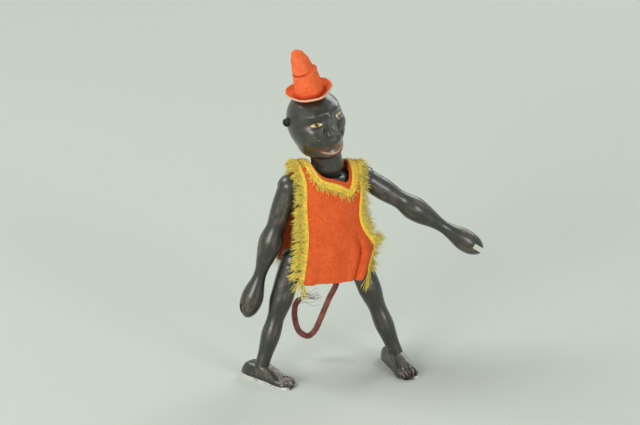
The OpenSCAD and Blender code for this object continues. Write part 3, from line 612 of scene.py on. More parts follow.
def armProfile(s):
    n = arm["length"]
    if s > n * arm["handAt"]:
        u = (s - n * arm["handAt"]) / (n * arm["handPart"])
        return arm["hand"] * math.sqrt(max(0, 1 - u * u))
    return along([ballFoot(arm["ball"]), (n * 0.15, arm["biceps"]), (n * 0.3, arm["biceps"] - 1),
                  (n * arm["elbowAt"], arm["elbow"]), (n * 0.67, arm["wrist"]),
                  (n * arm["handAt"], arm["hand"])], s)


def armCentre(s):
    elbow = arm["length"] * arm["elbowAt"]
    bend = -math.radians(arm["bend"]) * between(elbow - 5, elbow + 5, s)
    tilt = Matrix.Rotation(-bend, 3, "X")
    if s < elbow:
        return Vector((0, 0, -s)), tilt
    full = Matrix.Rotation(math.radians(arm["bend"]), 3, "X")
    return Vector((0, 0, -elbow)) + full @ Vector((0, 0, -(s - elbow))), tilt


def makeArm(side):
    mirror, place = sideSign[side], armPlace(side)
    loops = limbLoops(armProfile, armCentre, arm["ball"], arm["length"] - 0.04, mirror,
                      arm["seed"][side])
    piece = addMesh("arm_" + side + "_wood", *rings(loops, flip=mirror > 0), place=place)
    # the slot sawn in the hand, by a block that reaches well past it
    elbow, past = arm["length"] * arm["elbowAt"], 0.02
    forearm = (place @ Matrix.Translation((0, 0, -elbow * mm)) @ turn("X", arm["bend"])
               @ turn("Z", arm["gripTurn"][side]))
    deep = (arm["length"] - elbow - arm["gripDepth"]) * mm
    half = arm["gripWidth"] / 2 * mm
    grip = boxCutter((-past, -half, -deep - past), (past, half, -deep), forearm)
    carve(piece, ballCutters(arm["ball"], *arm["slot"], mirror, place) + [grip])
    return finishPiece(piece, "arm_" + side, armWood, ("arm_" + side,))


def legProfile(s):
    n = leg["length"]
    return along([ballFoot(leg["ball"]), (n * 0.2, leg["thigh"]), (n * 0.36, leg["thigh"] - 0.1),
                  (n * 0.57, leg["knee"]), (n * 0.7, leg["calf"]), (n * 0.94, leg["ankle"]),
                  (n, leg["ankle"])], s)


def legCentre(s):
    return Vector((0, 0, -s)), Matrix.Identity(3)


def makeLeg(side):
    mirror, place = sideSign[side], legPlace(side)
    loops = limbLoops(legProfile, legCentre, leg["ball"], leg["length"] + leg["intoFoot"], mirror,
                      leg["seed"][side])
    piece = addMesh("leg_" + side + "_wood", *rings(loops, flip=mirror > 0), place=place)
    carve(piece, ballCutters(leg["ball"], *leg["slot"], mirror, place))
    return finishPiece(piece, "leg_" + side, legWood, ("leg_" + side,))


# the feet, carved from blocks with a step behind the toes
foot = {"length": 38, "width": 14, "height": 10.2, "toes": 4.8, "heel": 13.8, "toeCount": 5}


def footTop(u):
    h, t = foot["height"], foot["toes"]
    stations = [(0, h * 0.42), (0.05, h * 0.78), (0.14, h * 0.98), (0.2, h), (0.42, h),
                (0.56, h * 0.84), (0.68, h * 0.64), (0.735, t * 1.12), (0.765, t * 0.98),
                (0.86, t * 1.08), (0.94, t * 0.92), (1, t * 0.5)]
    return evenAlong(stations, u, 0.02 + 0.04 * bump(u - 0.45, 0.2))


def footHalf(u):
    stations = [(0, 0.42), (0.05, 0.64), (0.14, 0.77), (0.3, 0.8), (0.55, 0.86), (0.78, 1.0),
                (0.9, 0.95), (1, 0.66)]
    return foot["width"] / 2 * evenAlong(stations, u, 0.03)


def footPaint(side):
    look = blackWood("blackWoodFoot_" + side, 0.95)
    x, y, z = look.axes()
    tone = look.painted()
    # toes and instep rubbed to a pinkish brown
    toes = look.fade(y, -15.5, -18.5) * look.fade(z, 2.4, 3.8)
    toes = toes * look.ramp(look.grain(1.6, 4), 0.3, 0.55)
    tone = look.blend(toes * 0.6, tone, (0.16, 0.10, 0.072))
    top = look.fade(y, 3, -4) * look.fade(z, 3.2, 5.5)
    top = top * look.ramp(look.grain(4, 3, shift=(1, 5, 2)), 0.35, 0.65)
    tone = look.blend(top * 0.45, tone, (0.13, 0.105, 0.08))
    # along the outer side: a pale band on the sole's bottom edge, under a dark line of painted shadow
    outside = look.fade(x * sideSign[side], 0.5, 3) * look.fade(y, 16, 10)
    # painted shadow: a dark line along the outer side, above the sole's edge
    line = look.fade(abs(z - 2.7 * mm), 0.9, 0.3) * outside
    tone = look.blend(line * 0.8, tone, (0.002, 0.002, 0.002))
    edge = look.fade(z, 2.0, 1.5) * outside
    edge = edge * look.ramp(look.grain(2.2, 3, shift=(7, 0, 2)), 0.3, 0.5)
    tone = look.blend(edge * 0.9, tone, (0.80, 0.76, 0.70))
    look.feed("Base Color", tone)
    return look


def makeFoot(side):
    end = legPlace(side) @ Vector((0, 0, -leg["length"] * mm))
    place = Matrix.Translation((end.x, end.y, 0)) @ turn("Z", pose["footTurn"][side])
    mirror = sideSign[side]
    loops = []
    steps = 90
    for i in range(steps + 1):
        # one loop across the foot, u from the heel to the toes
        u = i / steps
        half, top = footHalf(u), footTop(u)
        toe = between(0.74, 0.80, u)
        loop = []
        for a in around(104):
            c, s = math.cos(a), math.sin(a)
            x = half * math.copysign(abs(c) ** 0.62, c)
            low = 0.25 * top
            if s >= 0:
                z = low + (top - low) * s ** (0.8 if u > 0.5 else 0.72)
            else:
                z = low - low * (min(1, -s * 1.9)) ** 0.7
            # grooves between the toes, which end in an arc
            across = (x / half + 1) / 2 * foot["toeCount"]
            gap = abs(math.sin(math.pi * across)) ** 0.6
            if 0.02 < x / half + 1 < 1.98:
                z *= 1 - 0.42 * toe * (1 - gap) * (z / top)
            inner, outer = max(0, -mirror * x / half), max(0, mirror * x / half)
            y = foot["heel"] - foot["length"] * u
            y += toe * between(0.86, 1, u) * ((1 - gap) * 1.9 + 1.6 * inner ** 2 + 0.7 * outer ** 3)
            wob = 0.12 * wobble((x, y, z), 4, 2.2 + mirror)
            z = max(0, z + (wob if z > 0.6 else 0))
            loop.append(((x + wob * c) * mm, y * mm, z * mm))
        loops.append(loop)
    piece = addMesh("foot_" + side + "_wood", *rings(loops), place=place, sharp=50)
    finish = footPaint(side)
    return finishPiece(piece, "leg_" + side, finish, ("foot_" + side,))


# the head: one radius for every direction from the middle of the skull, down over the neck and
# its ball
head = {"width": 34.5, "depth": 35.5, "height": 42.5, "lift": 28.5, "back": 4.5, "neck": 10,
        "neckTop": 18, "boreRadius": 1.2, "flareDeep": 11, "flareAngle": 26}
# turn, height, amount, spread sideways, spread up; the second list is for both sides
faceMarks = [
    (0, 33, 0.9, 46, 7), (0, 12, 2.0, 5.5, 14), (0, -4, 3.0, 5.6, 9), (0, -11, 1.6, 8.5, 4.5),
    (0, -31, 2.6, 30, 12), (0, -49, 4.4, 30, 7.5), (0, -42.6, -0.9, 16, 1.8),
    (0, -58, 2.4, 34, 9), (0, -68, -1.2, 60, 7), (0, 90, -2.6, 400, 34),
]
pairMarks = [
    (26, 31, 1.0, 16, 4.5), (29, 15, -2.0, 15, 8), (29, 14.0, 1.1, 9, 3.2),
    (29, 18.6, -0.5, 11, 1.5), (29, 9.6, -0.4, 10, 1.5), (11, -12, 1.4, 4.2, 4.4),
    (17, -6, -1.5, 3.4, 11), (24, -22, -1.3, 4.2, 10), (42, -6, 1.1, 14, 12),
    (16, 24, -0.7, 5, 9), (56, -30, 0.7, 16, 12), (56, 12, -0.6, 12, 10), (125, -62, 2.5, 60, 14),
]


def smoothMax(a, b, k):
    # the larger of the two, with the crossing rounded over k
    h = max(k - abs(a - b), 0) / k
    return max(a, b) + h * h * k / 4


def headRadius(az, el):
    d = Vector((math.cos(el) * math.sin(az), -math.cos(el) * math.cos(az), math.sin(el)))
    semi = (head["width"] / 2, head["depth"] / 2, head["height"] / 2)
    r = 1 / math.sqrt(sum((d[k] / semi[k]) ** 2 for k in range(3)))
    azDeg, elDeg = math.degrees(az), math.degrees(el)
    for turned, marks in ((azDeg, faceMarks), (abs(azDeg), pairMarks)):
        for a, e, amount, wide, tall in marks:
            r += amount * bump((turned - a) * math.cos(el), wide) * bump(elDeg - e, tall)
    r += 0.10 * wobble(d * 20, 3.5, 0.5)
    return smoothMax(r, neckReach(d), 2.2), d


def neckReach(d):
    # how far a line from the skull's middle runs inside the neck and the ball at its foot
    start = Vector((0, head["back"], head["lift"]))
    if d.z > -0.3:
        return 0
    flat = d.x * d.x + d.y * d.y
    across = start.x * d.x + start.y * d.y
    neckRadius = head["neck"] - 0.5
    inside = start.x ** 2 + start.y ** 2 - neckRadius ** 2
    t = (-across + math.sqrt(max(0, across * across - flat * inside))) / max(flat, 1e-9)
    if start.z + d.z * t < 1:
        b = start.dot(d)
        c = start.length_squared - head["neck"] ** 2
        t = -b + math.sqrt(max(0, b * b - c))
    elif start.z + d.z * t > head["neckTop"]:
        return 0
    return t


def makeHead():
    middle = Vector((0, head["back"], head["lift"]))
    # the rows of points stand closer on the neck and the face than on the skull's top
    rowsUp = [-89.6 + 0.8 * i for i in range(50)] + [-49.6 + 1.15 * (i + 1) for i in range(88)]
    rowsUp += [51.6 + 2.7 * (i + 1) for i in range(14)]
    turns = 220
    loops = []
    for el in rowsUp:
        loop = []
        for j in range(turns):
            # more points across the face than round the back
            u = j / turns * 2 - 1
            az = math.pi * (0.55 * u + 0.45 * u ** 3)
            r, d = headRadius(az, math.radians(el))
            loop.append(tuple((middle + d * r) * mm))
        loops.append(loop)
    piece = addMesh("head_wood", *rings(loops), place=neckPlace)
    # a flare in the neck's foot, so that the head can nod over its cord
    bore, deep = head["boreRadius"], head["flareDeep"]
    wide = bore + deep * math.tan(math.radians(head["flareAngle"]))
    loops = [[(r * mm * math.cos(a), r * mm * math.sin(a), z * mm) for a in around(32)]
             for z, r in ((0.8, 0.8), (0.0, bore), (-deep, wide))]
    carve(piece, [addMesh("cutter", *rings(loops, flip=True), place=neckPlace)], sharp=60)
    return finishPiece(piece, "head", headPaint(), ("head",))


def headPaint():
    look = blackWood("blackWoodHead", 0.45)
    x, y, z = look.axes()
    tone = look.painted()
    side = abs(x)

    def oval(cx, cz, rx, rz, soft=0.25):
        dx, dz = (side - cx * mm) / (rx * mm), (z - cz * mm) / (rz * mm)
        return look.ramp(dx * dx + dz * dz, 1 + soft, 1 - soft)
    front = look.fade(y, -3, -7)
    # the muzzle rubbed brown
    muzzle = look.fade(z, 20, 14.5) * look.fade(z, 9, 12) * look.fade(side, 11, 4) * front
    muzzle = muzzle * look.ramp(look.grain(2.4, 4), 0.3, 0.65)
    tone = look.blend(muzzle * 0.8, tone, (0.20, 0.105, 0.062))
    # lips: a pale pink line on the lower one, dark red brown at the corners
    lipLine = z - 11.3 * mm - side * side * 42
    corner = look.fade(abs(side - 8.2 * mm), 3.6, 1.2)
    corner = corner * look.fade(abs(lipLine - 0.6 * mm), 2.6, 0.9) * front
    tone = look.blend(corner * 0.85, tone, (0.085, 0.018, 0.012))
    lip = look.fade(abs(lipLine), 0.8, 0.35) * look.fade(side, 9.0, 7.0) * front
    tone = look.blend(lip * 0.9, tone, (0.50, 0.25, 0.175))
    # painted shade: dark creases beside the nose; the nose's ridge and the cheeks lightened, partly rubbed wear
    # and partly painted highlight
    drop = (33 * mm - z) * look.fade(z, 17, 19) * look.fade(z, 35, 33)
    creaseShade = look.fade(abs(side - 3.4 * mm - drop * 0.16), 0.9, 0.3) * look.fade(z, 17, 19)
    creaseShade = creaseShade * look.fade(z, 35, 32) * front
    creaseShade = creaseShade * look.ramp(look.grain(1.3, 3, shift=(5, 1, 1)), 0.25, 0.5)
    tone = look.blend(creaseShade * 0.85, tone, (0.006, 0.006, 0.005))
    # painted highlight mixed with rubbed wear on the nose's ridge and the cheeks
    ridge = look.fade(side, 2.6, 0.8) * look.fade(z, 19, 22) * look.fade(z, 33, 29) * front
    cheekWearAndHighlight = oval(10.5, 25.5, 4.5, 4.2, 0.6) * front
    patchy = look.ramp(look.grain(1.5, 4, shift=(0, 4, 2)), 0.38, 0.62)
    tone = look.blend((ridge * 0.8 + cheekWearAndHighlight * 0.55) * patchy * 0.6, tone, (0.19, 0.165, 0.125))
    # painted brows
    arch = z - 37.6 * mm + (side - 8 * mm) * (side - 8 * mm) * 22
    brow = look.fade(abs(arch), 0.9, 0.4) * look.fade(abs(side - 8.5 * mm), 5.5, 4) * front
    tone = look.blend(brow * 0.8, tone, (0.012, 0.020, 0.020))
    # eyes: a reddish outer corner, a cream almond, an amber ring and a black middle
    for shape, amount, colour in (((11.8, 32.2, 2.2, 0.95), 0.75, (0.19, 0.05, 0.028)),
                                  ((8.3, 32.6, 3.1, 0.95), 1, (0.68, 0.55, 0.24)),
                                  ((8.4, 32.7, 1.15, 1.0), 1, (0.24, 0.11, 0.015)),
                                  ((8.4, 32.7, 0.6, 0.7), 1, (0.010, 0.007, 0.005))):
        tone = look.blend(oval(*shape) * front * amount, tone, colour)
    look.feed("Base Color", tone)
    return look


# the torso under the coat
torso = {"chestWidth": 38, "chestDepth": 30.6, "waist": 26.6, "hips": 29, "shoulders": 49,
         "neck": 60.8, "seat": 9.5, "dome": 15, "rim": 13.6, "ballGap": 0.25, "hipRoom": 0.25,
         "flat": 17.9, "flatReach": 14, "boreRadius": 1.2, "neckBoreRadius": 2.5,
         "neckBoreDip": 4.3}
chestZ = torso["shoulders"] - 4.5


def makeTorso():
    seat, hips, chest = -torso["seat"], torso["hips"] / 2, torso["chestWidth"] / 2
    stations = [(seat, hips - 6), (seat + 4, hips - 1), (1, hips),
                (chestZ * 0.45, torso["waist"] / 2), (chestZ * 0.8, chest - 1.6), (chestZ, chest)]
    line = [(along(stations, z), z) for z in [mix(seat, chestZ, i / 54) for i in range(55)]]
    # the chest's rounded top, up to the rim of the neck's socket
    last = math.asin(torso["rim"] / chest)
    for i in range(1, 17):
        a = mix(math.pi / 2, last, i / 16)
        line.append((chest * math.sin(a), chestZ + torso["dome"] * math.cos(a)))
    ratio = torso["chestDepth"] / torso["chestWidth"]
    loops = []
    for r, z in line:
        loop = []
        for a in around(80):
            p = Vector((r * math.cos(a), r * ratio * math.sin(a), z))
            p *= 1 + 0.006 * wobble(p, 8, 4.4)
            loop.append(tuple(p * mm))
        loops.append(loop)
    piece = addMesh("torso_wood", *rings(loops), place=torsoPlace)
    # sockets for the balls, flats at the shoulders, and the cords' bores
    gap = torso["ballGap"]
    cutters = []
    for joint, radius in (("shoulder_raise_", arm["ball"] + gap),
                          ("hip_splay_", leg["ball"] + gap + torso["hipRoom"])):
        for side in sideSign:
            centre = tuple(torsoPlace.inverted() @ pivot(joint + side))
            cutters.append(ballCutter(centre, radius * mm, torsoPlace))
    for sign in (-1, 1):
        near, far = sorted((sign * torso["flat"] * mm, sign * 0.03))
        cutters.append(boxCutter((near, -0.02, (chestZ - torso["flatReach"]) * mm),
                                 (far, 0.02, (chestZ + torso["flatReach"]) * mm), torsoPlace))
    neckBall = (0, 0, torso["neck"] * mm)
    cutters.append(ballCutter(neckBall, (head["neck"] + gap) * mm, torsoPlace))
    for z in (0, torso["shoulders"]):
        cutters.append(rodCutter((-0.03, 0, z * mm), (0.03, 0, z * mm), torso["boreRadius"] * mm,
                                 torsoPlace))
    low = (torso["shoulders"] - torso["neckBoreDip"]) * mm
    cutters.append(rodCutter((0, 0, low), (0, 0, 0.1), torso["neckBoreRadius"] * mm, torsoPlace))
    carve(piece, cutters, sharp=45)
    return finishPiece(piece, "torso", bodyWood, ("torso",))


# the coat: the part's own lines, with finer folds and a rounder neckline; s runs across from
# -1 to 1, t down from the shoulders' ridge to the hem, and way is 1 for the front, -1 for the back
coat = {"felt": 1.4, "gap": 1.3, "holeWidth": 23.4, "holeX": 0.5, "neckFront": 12.6,
        "neckBack": 11.7, "neckSkew": 0.16, "neckSquare": 4, "ridgeRise": 11.4, "ridgeTilt": 0.12,
        "chestRound": 52, "shoulderWidth": 42.6, "chestWidth": 36.8, "waistWidth": 36,
        "hemWidth": 45, "hemDrop": 8.6, "hemOut": 21.5, "split": 0.3, "flareLeft": 10.5}


def coatHalf(t):
    if t < coat["split"]:
        down = between(0, coat["split"] * 0.7, t)
        return mix(coat["shoulderWidth"], coat["chestWidth"], down) / 2
    waist = mix(coat["chestWidth"], coat["waistWidth"], between(coat["split"], 0.5, t))
    return mix(waist, coat["hemWidth"], between(0.55, 1.1, t)) / 2


def chestOut(x):
    return torso["chestDepth"] / 2 + coat["gap"] - x * x / coat["chestRound"]


def ridgeUp(x, way):
    return torso["shoulders"] + coat["ridgeRise"] - chestZ - way * coat["ridgeTilt"] * x


def neckEdge(q, way):
    reach = coat["neckFront"] * (1 + coat["neckSkew"] * q) if way > 0 else coat["neckBack"]
    return reach * math.sqrt(max(0, 1 - abs(q) ** coat["neckSquare"]))


def coatMid(s, t, flare, seed, way):
    x = s * coatHalf(t) - way * 0.6 * (1 - between(0, coat["split"], t))
    if flare * s > 0:
        x += flare * s * s * bump(t - 0.78, 0.15)
    out, up = chestOut(x), ridgeUp(x, way)
    if t < coat["split"]:
        q = (way * x - coat["holeX"]) / (coat["holeWidth"] / 2)
        reach = neckEdge(q, way) if abs(q) < 1 else 0
        a = mix(math.asin(min(0.97, max(0.004, reach / out))), math.pi / 2, t / coat["split"])
        soft = 0.3 * wobble((x, out * math.sin(a), seed), 6, seed) * between(0.0, 0.1, t)
        return Vector((x, -(out + soft) * math.sin(a), chestZ + (up + soft) * math.cos(a)))
    u = (t - coat["split"]) / (1 - coat["split"])
    # below the chest the felt stands off the body and falls in waves
    hem = -coat["hemDrop"] - 1.2 * s * s + 2.4 * abs(s) ** 6
    far = mix(torso["chestDepth"] / 2 + 1.4, coat["hemOut"], between(0.35, 1, t))
    hang = far - x * x / (2 * mix(26, 60, between(0.4, 1, t)))
    wave = 0.9 * u * u * math.cos(math.radians(s * 400)) + 1.2 * u * u * bump(abs(s) - 0.72, 0.16)
    soft = mix(0.3 * wobble((x, out, seed), 6, seed),
               0.55 * u * wobble((s * 14, t * 20, seed), 7, seed), ease(u * 3))
    soft += 0.25 * u * wobble((s * 14, t * 26, seed), 3, seed)
    fold = 0
    if way > 0:
        # the pleat inside the flared edge
        line = 0.62 - 0.35 * (t - 0.8)
        fold = (-2.8 * bump(s - line, 0.055) + 1.2 * bump(s - line + 0.13, 0.09)
                + 0.9 * bump(s - line - 0.14, 0.07)
                - 1.1 * bump(s - line - 0.25, 0.04)) * between(0.6, 0.76, t)
    y = -mix(out + soft, hang + wave + soft + fold, ease(u * 2.2))
    if way > 0 and s > 0:
        # the flared edge turns back, so that its fringe hides behind it lower down
        curl = between(0.70, 0.84, t) * ease((s - 0.70) / 0.30)
        y += curl * mix(6.0, 4.0, between(0.85, 1, t))
        x -= curl * curl * 1.2
    edge = 0.35 * wobble((s * 16, 0, seed), 2.5, seed) * between(0.9, 1, t)
    return Vector((x, y, mix(chestZ, hem, u) + edge))


def coatPoint(s, t, off, *cut):
    # a point off millimetres out from the felt's inner face, and the way out
    d = 0.004
    ds = coatMid(min(1, s + d), t, *cut) - coatMid(max(-1, s - d), t, *cut)
    dt = coatMid(s, min(1, t + d), *cut) - coatMid(s, max(0, t - d), *cut)
    out = dt.cross(ds).normalized()
    return coatMid(s, t, *cut) + out * off, out


def makePanel(name, node, back):
    place = torsoPlace @ (turn("Z", 180) if back else Matrix.Identity(4))
    cut = (-coat["flareLeft"] * 0.4, 8.3, -1) if back else (coat["flareLeft"], 2.1, 1)
    cols, rows = 90, 110
    outer, inner = [], []
    for i in range(rows + 1):
        high, low = [], []
        for j in range(cols + 1):
            s, t = mix(-1, 1, j / cols), i / rows
            p, out = coatPoint(s, t, 0, *cut)
            nap = 0.07 * wobble((p.x, p.y, p.z), 1.1, cut[1])
            rim = min(1, 12 * min(1 - abs(s), 1 - t, t + 0.02) + 0.35)
            high.append((p + out * (coat["felt"] * mix(0.5, 1, rim) + nap)) * mm)
            low.append((p + out * (coat["felt"] * mix(0.5, 0, rim) + nap * 0.5)) * mm)
        outer.append(high)
        inner.append(low)
    piece = addMesh(name, *thickSheet(outer, inner), place=place)
    finishPiece(piece, "torso", coatFelt, (node,))
    area = sum(f.area for f in piece.data.polygons) / 2
    return piece, cut, place, area


# fringe: a braid on the felt and tufts of wool standing out from it
fringe = {"heading": 2.6, "headingThick": 0.85, "tuftsPerStep": 0.773, "strandsPerTuft": 6,
          "strandRadius": 0.23, "sideSteps": 150, "neckSteps": 190, "neckOut": 2.2,
          "frontWool": (6.8, 9.4), "backWool": (6.0, 8.5), "neckWool": 4.0}


class StrandMaker:
    # kinds holds each face's material: 0 for strands, 1 for the braid
    def __init__(self, seed):
        self.random = random.Random(seed)
        self.points, self.faces, self.kinds = [], [], []

    def strand(self, root, way, length, droop, curl, radius, steps=6):
        # a three-sided strand that thins to a point
        r, sides = self.random, 3
        side = way.orthogonal().normalized()
        other = way.cross(side)
        bendA, bendB = r.uniform(-curl, curl), r.uniform(-curl, curl)
        first = len(self.points)
        for i in range(steps + 1):
            u = i / steps
            p = root + way * (length * u) + droop * (length * u * u) \
                + (side * bendA + other * bendB) * (length * u * u) \
                + side * (0.06 * length * math.sin(u * 9 + bendA * 7))
            if i == steps:
                self.points.append(p)
                break
            size = radius * (1 - 0.55 * u)
            for j in range(sides):
                a = 2 * math.pi * j / sides + u * 3
                self.points.append(p + size * (side * math.cos(a) + other * math.sin(a)))
        for i in range(steps - 1):
            for j in range(sides):
                a, b = first + i * sides + j, first + i * sides + (j + 1) % sides
                self.faces.append((a, b, b + sides, a + sides))
        tip = len(self.points) - 1
        for j in range(sides):
            self.faces.append((tip - sides + j, tip - sides + (j + 1) % sides, tip))
        self.faces.append(tuple(first + j for j in reversed(range(sides))))
        self.kinds += [0] * (len(self.faces) - len(self.kinds))

    def skin(self, points, faces):
        first = len(self.points)
        self.points += [Vector(p) for p in points]
        self.faces += [tuple(first + k for k in f) for f in faces]
        self.kinds += [1] * (len(self.faces) - len(self.kinds))


def makeFringe(name, line, nodes, place, seed, lengthAt, count, rows=1):
    # line(u) gives root, outward way, felt normal and the line's own way, at u from 0 to 1
    maker = StrandMaker(seed)
    r = maker.random
    wide, thick = fringe["heading"] / 2 * (1 + 0.75 * (rows - 1)), fringe["headingThick"]
    shift = (rows - 1) * 0.9
    outer, inner = [], []
    for i in range(count + 1):
        root, out, up, way = line(i / count)
        twist = 0.22 * math.sin(i * 2.1)
        rowO, rowI = [], []
        for j in range(6 * rows + 1):
            v = mix(-1, 1, j / (6 * rows))
            ridge = math.cos(math.pi * rows * (v + 1)) if rows > 1 else 0
            high = (thick * (0.55 + 0.45 * math.cos(v * 1.4) - 0.3 * ridge)
                    + 0.16 * math.cos(v * 6 * rows + i * 2.1))
            rowO.append(root + out * (v * wide + twist + shift) + up * high)
            rowI.append(root + out * (v * wide + twist + shift) + up * 0.06)
        outer.append(rowO)
        inner.append(rowI)
    points, faces = thickSheet(outer, inner)
    if way.cross(out).dot(up) < 0:
        faces = [tuple(reversed(f)) for f in faces]
    maker.skin([p * mm for p in points], faces)
    tufts = int(count * fringe["tuftsPerStep"])
    for i in range(tufts):
        u = (i + r.random()) / tufts
        root, out, up, way = line(u)
        lean, rise = r.gauss(0, 0.34), r.gauss(0.16, 0.16)
        # at the hem a side fringe's wool turns to hang along its line
        ending = 0 if rows > 1 else between(0.93, 1, u)
        for k in range(fringe["strandsPerTuft"]):
            aim = (out * (1 - 1.7 * ending) + way * (lean + r.gauss(0, 0.16) + 1.1 * ending)
                   + up * (rise + r.gauss(0, 0.10))).normalized()
            start = (root + out * (wide * r.uniform(-1.05, 0.8) + shift)
                     + up * (thick * r.uniform(0.3, 0.95)) + way * r.uniform(-0.5, 0.5))
            length = lengthAt(u) * r.uniform(0.72, 1.12)
            droop = Vector((0, 0, -r.uniform(0.05, 0.4))) - up * r.uniform(0.0, 0.12)
            radius = fringe["strandRadius"] * r.uniform(0.7, 1.25)
            maker.strand(start * mm, aim, length * mm, droop, 0.28, radius * mm)
    piece = addMesh(name, maker.points, maker.faces, place=place)
    piece.data.materials.append(fringeWool.material)
    piece.data.materials.append(headingBraid.material)
    piece.data.polygons.foreach_set("material_index", maker.kinds)
    return finishPiece(piece, "torso", fringeWool, nodes)


def edgeLine(side, *cut):
    # the middle of the heading, just inside the panel's edge
    def line(u):
        t, off = mix(0.015, 0.995, u), coat["felt"] + 0.05
        s = side * (1 - fringe["heading"] / 2 / coatHalf(t))
        p, up = coatPoint(s, t, off, *cut)
        q, _ = coatPoint(s, min(1, t + 0.01), off, *cut)
        q0, _ = coatPoint(s, max(0, t - 0.01), off, *cut)
        way = (q - q0).normalized()
        out = (way.cross(up) if side < 0 else up.cross(way)).normalized()
        return p, out, up, way
    return line


def collarLine(u):
    # round the neck hole; its front half lies on the front panel, the other on the back
    def spot(a):
        facing = 1 if math.sin(a) < 0 else -1
        x = coat["holeX"] + (coat["holeWidth"] / 2 + fringe["neckOut"]) * math.cos(a)
        reach = neckEdge(math.cos(a), facing) + fringe["neckOut"] * abs(math.sin(a))
        out, up = chestOut(x), ridgeUp(x, 1)
        k = math.sqrt(1 - min(0.985, reach / out) ** 2)
        bulge = coat["chestRound"] / 2
        tilt = coat["ridgeTilt"] * k + up * (reach / out) ** 2 * x / (bulge * out * k)
        normal = Vector((tilt, -facing * up * reach / (out * out * k), 1)).normalized()
        return Vector((x, -facing * reach, chestZ + up * k)) + normal * (coat["felt"] + 0.1), normal
    a = 2 * math.pi * u
    p, normal = spot(a)
    way = (spot(a + 0.02)[0] - p).normalized()
    return p, way.cross(normal).normalized(), normal, way


def woolLength(short, full):
    # the wool grows longer from the shoulder down to the chest
    return lambda u: mix(short, full, between(0.2, 0.6, u))


def makeCoat():
    front, cutF, placeF, areaF = makePanel("coat_front_felt", "coat_front", False)
    back, cutB, placeB, areaB = makePanel("coat_back_felt", "coat_back", True)
    lengthF, lengthB = woolLength(*fringe["frontWool"]), woolLength(*fringe["backWool"])
    madeF, madeB = [], []
    for side, sign in sideSign.items():
        madeF.append(makeFringe("front_fringe_" + side + "_wool", edgeLine(sign, *cutF),
                                ("front_fringe_" + side,), placeF, 11 + sign, lengthF,
                                fringe["sideSteps"]))
        madeB.append(makeFringe("back_fringe_" + side + "_wool", edgeLine(-sign, *cutB),
                                ("back_fringe_" + side,), placeB, 31 + sign, lengthB,
                                fringe["sideSteps"]))
    collar = makeFringe("neck_fringe_wool", collarLine, ("neck_fringe",), torsoPlace, 57,
                        lambda u: fringe["neckWool"], fringe["neckSteps"], 2)


# the cap
cap = {"radius": 8.6, "height": 29.6, "foldTurn": 323, "brim": 13.9, "brimRise": 2.8, "felt": 1.2,
       "edge": 1.1, "seat": (0, 5.0, 46.75)}


def capRadius(u, a):
    stations = ((0, 1), (0.28, 0.95), (0.5, 0.87), (0.75, 0.74), (0.92, 0.52), (1, 0.14))
    r = along([(up, cap["radius"] * part) for up, part in stations], u)
    # the top pushed down into the lower part, so that a fold runs round it
    turned = math.cos(a - math.radians(cap["foldTurn"]))
    fold, deep = 0.51 + 0.05 * turned, 0.62 + 0.38 * turned
    step = between(fold - 0.006, fold + 0.022, u)
    r += 0.6 * bump(u - fold + 0.03, 0.05) * deep - 1.1 * deep * step
    r -= 0.4 * bump(u - fold - 0.02, 0.02)
    r += 0.5 * bump(u - 0.02, 0.03)
    r += 0.18 * math.sin(3 * a + 4 * u) * u + 0.08 * math.sin(7 * a - 6 * u)
    return max(0.2, r)


def capAxis(u):
    return Vector((-2.2 * u * u, 2.6 * u * u, cap["height"] * u))


def capShadePaint():
    # painted shade: the felt is darkened in the fold and down in the brim, where shade falls
    look = feltCloth("redFeltCap", *capShades)
    x, y, z = look.axes()
    right = x * 0.8 - y * 0.6
    foldShade = look.fade(abs(z - 15.6 * mm - right * 0.2), 0.8, 0.2) * look.fade(right, 4, -2)
    # painted shade down in the brim, round the crown's foot
    inside = look.ramp(x * x + y * y, 118 * mm * mm, 80 * mm * mm) * look.fade(z, 3.2, 1.2)
    tone = look.blend(foldShade * 0.75, look.painted(), (0.36, 0.020, 0.006))
    look.feed("Base Color", look.blend(inside * 0.55, tone, (0.40, 0.022, 0.008)))
    return look


def brimPoint(u, a, off):
    r = mix(cap["radius"] + 0.1, cap["brim"], u)
    r = r + 0.35 * u * math.sin(3 * a + 1) + 0.2 * u * math.sin(7 * a)
    z = cap["brimRise"] * u * u + 0.45 * u * math.sin(2 * a + 2.4) + 0.2 * u * math.sin(5 * a)
    return Vector((r * math.cos(a), r * math.sin(a), z - off))


def makeCrown(place, finish):
    outside, inside, turns = [], [], 72
    for i in range(82):
        u = i / 81
        loop = []
        for a in around(turns):
            way = Vector((math.cos(a), math.sin(a), 0))
            dent = Vector((0.08, 0.08, 0)) * wobble((u * 30, math.cos(a) * 9, math.sin(a) * 9), 3)
            loop.append((capAxis(u) + capRadius(u, a) * way + dent) * mm)
        outside.append(loop)
    for i in range(40):
        u = (1 - i / 39) * 0.93
        inside.append([(capAxis(u) + max(0.1, capRadius(u, a) - cap["felt"])
                        * Vector((math.cos(a), math.sin(a), 0))) * mm for a in around(turns)])
    points, faces = rings(outside, startCap=False)
    pointsIn, facesIn = rings(inside, endCap=False)
    # the two skins joined round the foot
    n = len(points)
    faces += [tuple(n + k for k in f) for f in facesIn]
    last = n + (len(inside) - 1) * turns
    faces += [((j + 1) % turns, j, last + j, last + (j + 1) % turns) for j in range(turns)]
    crown = addMesh("cap_crown_felt", points + pointsIn, faces, place=place)
    finishPiece(crown, "head", finish, ("cap_crown",))


